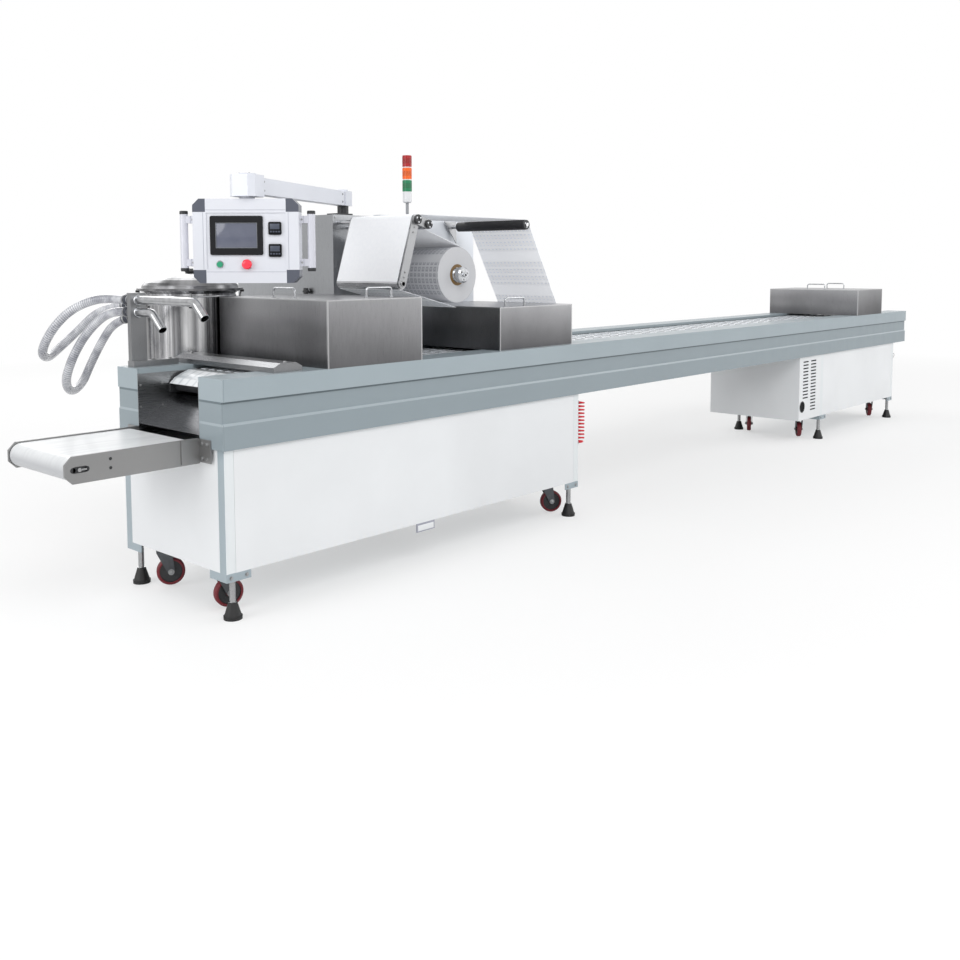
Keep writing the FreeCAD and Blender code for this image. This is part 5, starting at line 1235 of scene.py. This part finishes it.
def roller_details():
    """Black end discs with three screws on the rollers, and screws in the links."""
    discs = Piece("roller_discs")
    screws = []
    for x, y, z, radius in ((1257, 166, 1677, 24), (1334, 166, 1654, 22), (BLACK_ROLLER_X, 184, BLACK_ROLLER_Z, 27.4)):
        discs.lathe(BLACK, ((0, 0), (radius, 0), (radius, 9), (radius - 3, 12), (8, 12), (7, 9), (0, 9)),
                    (x, y, z), (0, -1, 0), 36)
        screws += [(x + 14 * math.cos(angle), y - 11.8, z + 14 * math.sin(angle), (0, -1, 0))
                   for angle in circle(3, 0.5)]
    discs.lathe(BOLT, ((0, 0), (13, 0), (13, 4), (10, 6), (0, 6)), (1161, 174, 1360), (0, -1, 0), 32)
    discs.finish("base", "dark_plastic")
    bolts("disc_screws", "base", PLATED, screws, 3.2, 2.4)
    link = [(1257 + (1161 - 1257) * share, 173.8, 1677 + (1360 - 1677) * share, (0, -1, 0))
            for share in (0.12, 0.2, 0.82, 0.9)]
    bolts("link_screws", "base", BOLT, link, 4.5, 3.5)


def reel_details():
    """The chuck's grip ribs, its three screws and its dark bore."""
    ribs = [(spot(REEL_X + 40 * math.cos(angle), 153, REEL_Z + 40 * math.sin(angle)), facing((0, 1, 0)))
            for angle in circle(30)]
    grow("chuck_ribs", "reel", "bright_steel", PLATED, RODS, ribs, Radius=0.0016, Length=0.020, Sides=8)
    screws = [(REEL_X + 23 * math.cos(angle), 133.8, REEL_Z + 23 * math.sin(angle), (0, -1, 0))
              for angle in circle(3, 0.4)]
    bolts("chuck_screws", "reel", BOLT, screws, 4.4, 3.4)
    bore = Piece("chuck_bore")
    bore.lathe(BLACK, ((0, 0), (6, 0), (6, 0.8), (0, 0.8)), (REEL_X, 123.9, REEL_Z), (0, -1, 0), 24)
    bore.finish("reel", "bright_steel")


def light_details():
    """Upright ribs round each lens."""
    green, amber, red = (plastic(name, shade, 0.3) for name, shade in (
        ("green_lens", (0, 100, 60)), ("amber_lens", (212, 84, 0)), ("red_lens", (140, 0, 8))))
    for name, finish, z in (("green", green, 1902), ("amber", amber, 1972), ("red", red, 2042)):
        ribs = [(spot(LIGHT_X + 25.8 * math.cos(angle), LIGHT_Y + 25.8 * math.sin(angle), z), (0, 0, 0))
                for angle in circle(24)]
        grow(name + "_lens_ribs", "base", "lamp_plastic", finish, RODS, ribs, Radius=0.0012,
             Length=0.058, Sides=6)


# Operator panel and its arm

def arm_details():
    """The head's cap and the pivot's cap, with their screws."""
    caps = Piece("arm_caps")
    caps.lathe(ARM, ((0, 0), (46, 0), (46, 3), (43, 6), (0, 6)), (1030, 0, 1851), (0, 0, 1), 48,
               ARM_FRAME)
    caps.lathe(ARM, ((0, 0), (29, 0), (29, 5), (26, 8), (0, 8)), (0, 0, 1849), (0, 0, 1), 40, ARM_FRAME)
    for out in (-1, 1):
        caps.block(LINE, (46, out * 31.2 - 0.3, 1772), (48, out * 31.2 + 0.3, 1843), 0, ARM_FRAME)
        caps.block(LINE, (952, out * 31.2 - 0.3, 1772), (954, out * 31.2 + 0.3, 1843), 0, ARM_FRAME)
    caps.finish("arm", "beam_enamel")
    tops = [(1030 + 34 * math.cos(angle), 34 * math.sin(angle), 1856.8, (0, 0, 1))
            for angle in (0.8, 2.4, 3.9, 5.5)]
    sides = [(x, out * 31.1, z, (0, out, 0)) for x in (70, 930) for z in (1788, 1828) for out in (-1, 1)]
    bolts("arm_screws", "arm", BOLT, tops + sides, 4, 3, ARM_FRAME)


def panel_details():
    """The screen's rim, the controllers' windows and keys, the buttons' rings and the grips' caps."""
    middle = PANEL_MIDDLE
    front = -40.0
    piece = Piece("screen_rim")
    left, right, low, top = GLASS_LEFT, GLASS_RIGHT, middle + GLASS_LOW, middle + GLASS_TOP
    for x0, x1, z0, z1 in ((left - 2, right + 2, top, top + 2), (left - 2, right + 2, low - 2, low),
                           (left - 2, left, low, top), (right, right + 2, low, top)):
        piece.block(GREY, (x0, -43.6, z0), (x1, -42.6, z1), 0.3, PANEL_FRAME)
    piece.block(GLASS, (left, -41.7, low), (right, -40.9, top), 0.2, PANEL_FRAME)
    for z in (middle + 55, middle - 42):
        piece.block(DARK, (102, -46.4, z - 27), (156, -44.8, z + 27), 0.5, PANEL_FRAME)
        piece.block(DISPLAY, (108, -47.2, z - 4), (150, -46.2, z + 20), 0.3, PANEL_FRAME)
        for x in (112, 124, 136, 148):
            piece.block(DISPLAY, (x - 4, -47.4, z - 18), (x + 4, -46.2, z - 11), 0.3, PANEL_FRAME)
    for x, radius in ((-117, 17), (5, 20)):
        piece.lathe(PLATED, ((radius - 3.4, 0), (radius, 0), (radius, 2), (radius - 1.5, 3.4),
                             (radius - 3.4, 3.4), (radius - 3.4, 0)), (x, -36, middle - 103),
                    (0, -1, 0), 40, PANEL_FRAME)
    piece.finish("panel", "screen_plastic")
    trim = Piece("panel_trim")
    for side in (-1, 1):
        trim.block(LINE, (side * 188 - 0.8, front - 0.7, middle - 125),
                   (side * 188 + 0.8, front + 0.1, middle + 125), 0.2, PANEL_FRAME)
        trim.block(LINE, (-176, front - 0.7, middle + side * 136 - 0.8),
                   (176, front + 0.1, middle + side * 136 + 0.8), 0.2, PANEL_FRAME)
        for end in (-1, 1):
            trim.lathe(BLACK, ((0, 0), (18.4, 0), (18.4, 12), (16, 15), (0, 15)),
                       (side * 283, 0, middle + end * 119), (0, 0, end), 32, PANEL_FRAME)
            trim.block(LINE, (side * 250 - 0.8, -13.6, middle + end * 95 - 16.6),
                       (side * 250 + 0.8, 13.6, middle + end * 95 + 16.6), 0.2, PANEL_FRAME)
    trim.finish("panel", "panel_enamel")
    screws = [(side * 242, -13, middle + end * 95, (0, -1, 0)) for side in (-1, 1) for end in (-1, 1)]
    bolts("panel_bolts", "panel", BOLT, screws, 3.4, 2.4, PANEL_FRAME)


def regulator_details():
    """The gauge with a plain dial, the knob's grip ribs and the bowl's ring."""
    gauge = Piece("regulator_gauge")
    gauge.lathe(PLATED, ((0, 0), (19, 0), (19, 9), (17, 11), (16, 9.4), (0, 9.4)), (7424, 30, 586),
                (0, -1, 0), 40)
    gauge.lathe(WHITE, ((0, 0), (15.8, 0), (15.8, 0.6), (0, 0.6)), (7424, 20.5, 586), (0, -1, 0), 40)
    gauge.block(BLACK, (7423.4, 19.2, 584), (7424.6, 19.8, 598), 0.1)
    gauge.lathe(GREY, ((17.2, 0), (20.4, 0), (20.4, 8), (17.2, 8), (17.2, 0)), (REGULATOR_X, REGULATOR_Y, 552),
                (0, 0, 1), 36)
    gauge.finish("base", "dark_plastic")
    ribs = [(spot(REGULATOR_X + 17.2 * math.cos(angle), REGULATOR_Y + 17.2 * math.sin(angle), 624),
             (0, 0, 0)) for angle in circle(24)]
    grow("knob_ribs", "base", "dark_plastic", BLACK, RODS, ribs, Radius=0.0014, Length=0.024, Sides=6)


camera()
light()
floor()
hose("upper_hose", UPPER_HOSE)
hose("lower_hose", LOWER_HOSE)
curly_lines()
beam_details()
conveyor_details()
cabinet_details()
foot_details()
caster_details()
cover_details()
barrel_details()
housing_details()
roller_details()
reel_details()
light_details()
arm_details()
panel_details()
regulator_details()

bpy.context.scene.view_settings.view_transform = "Standard"
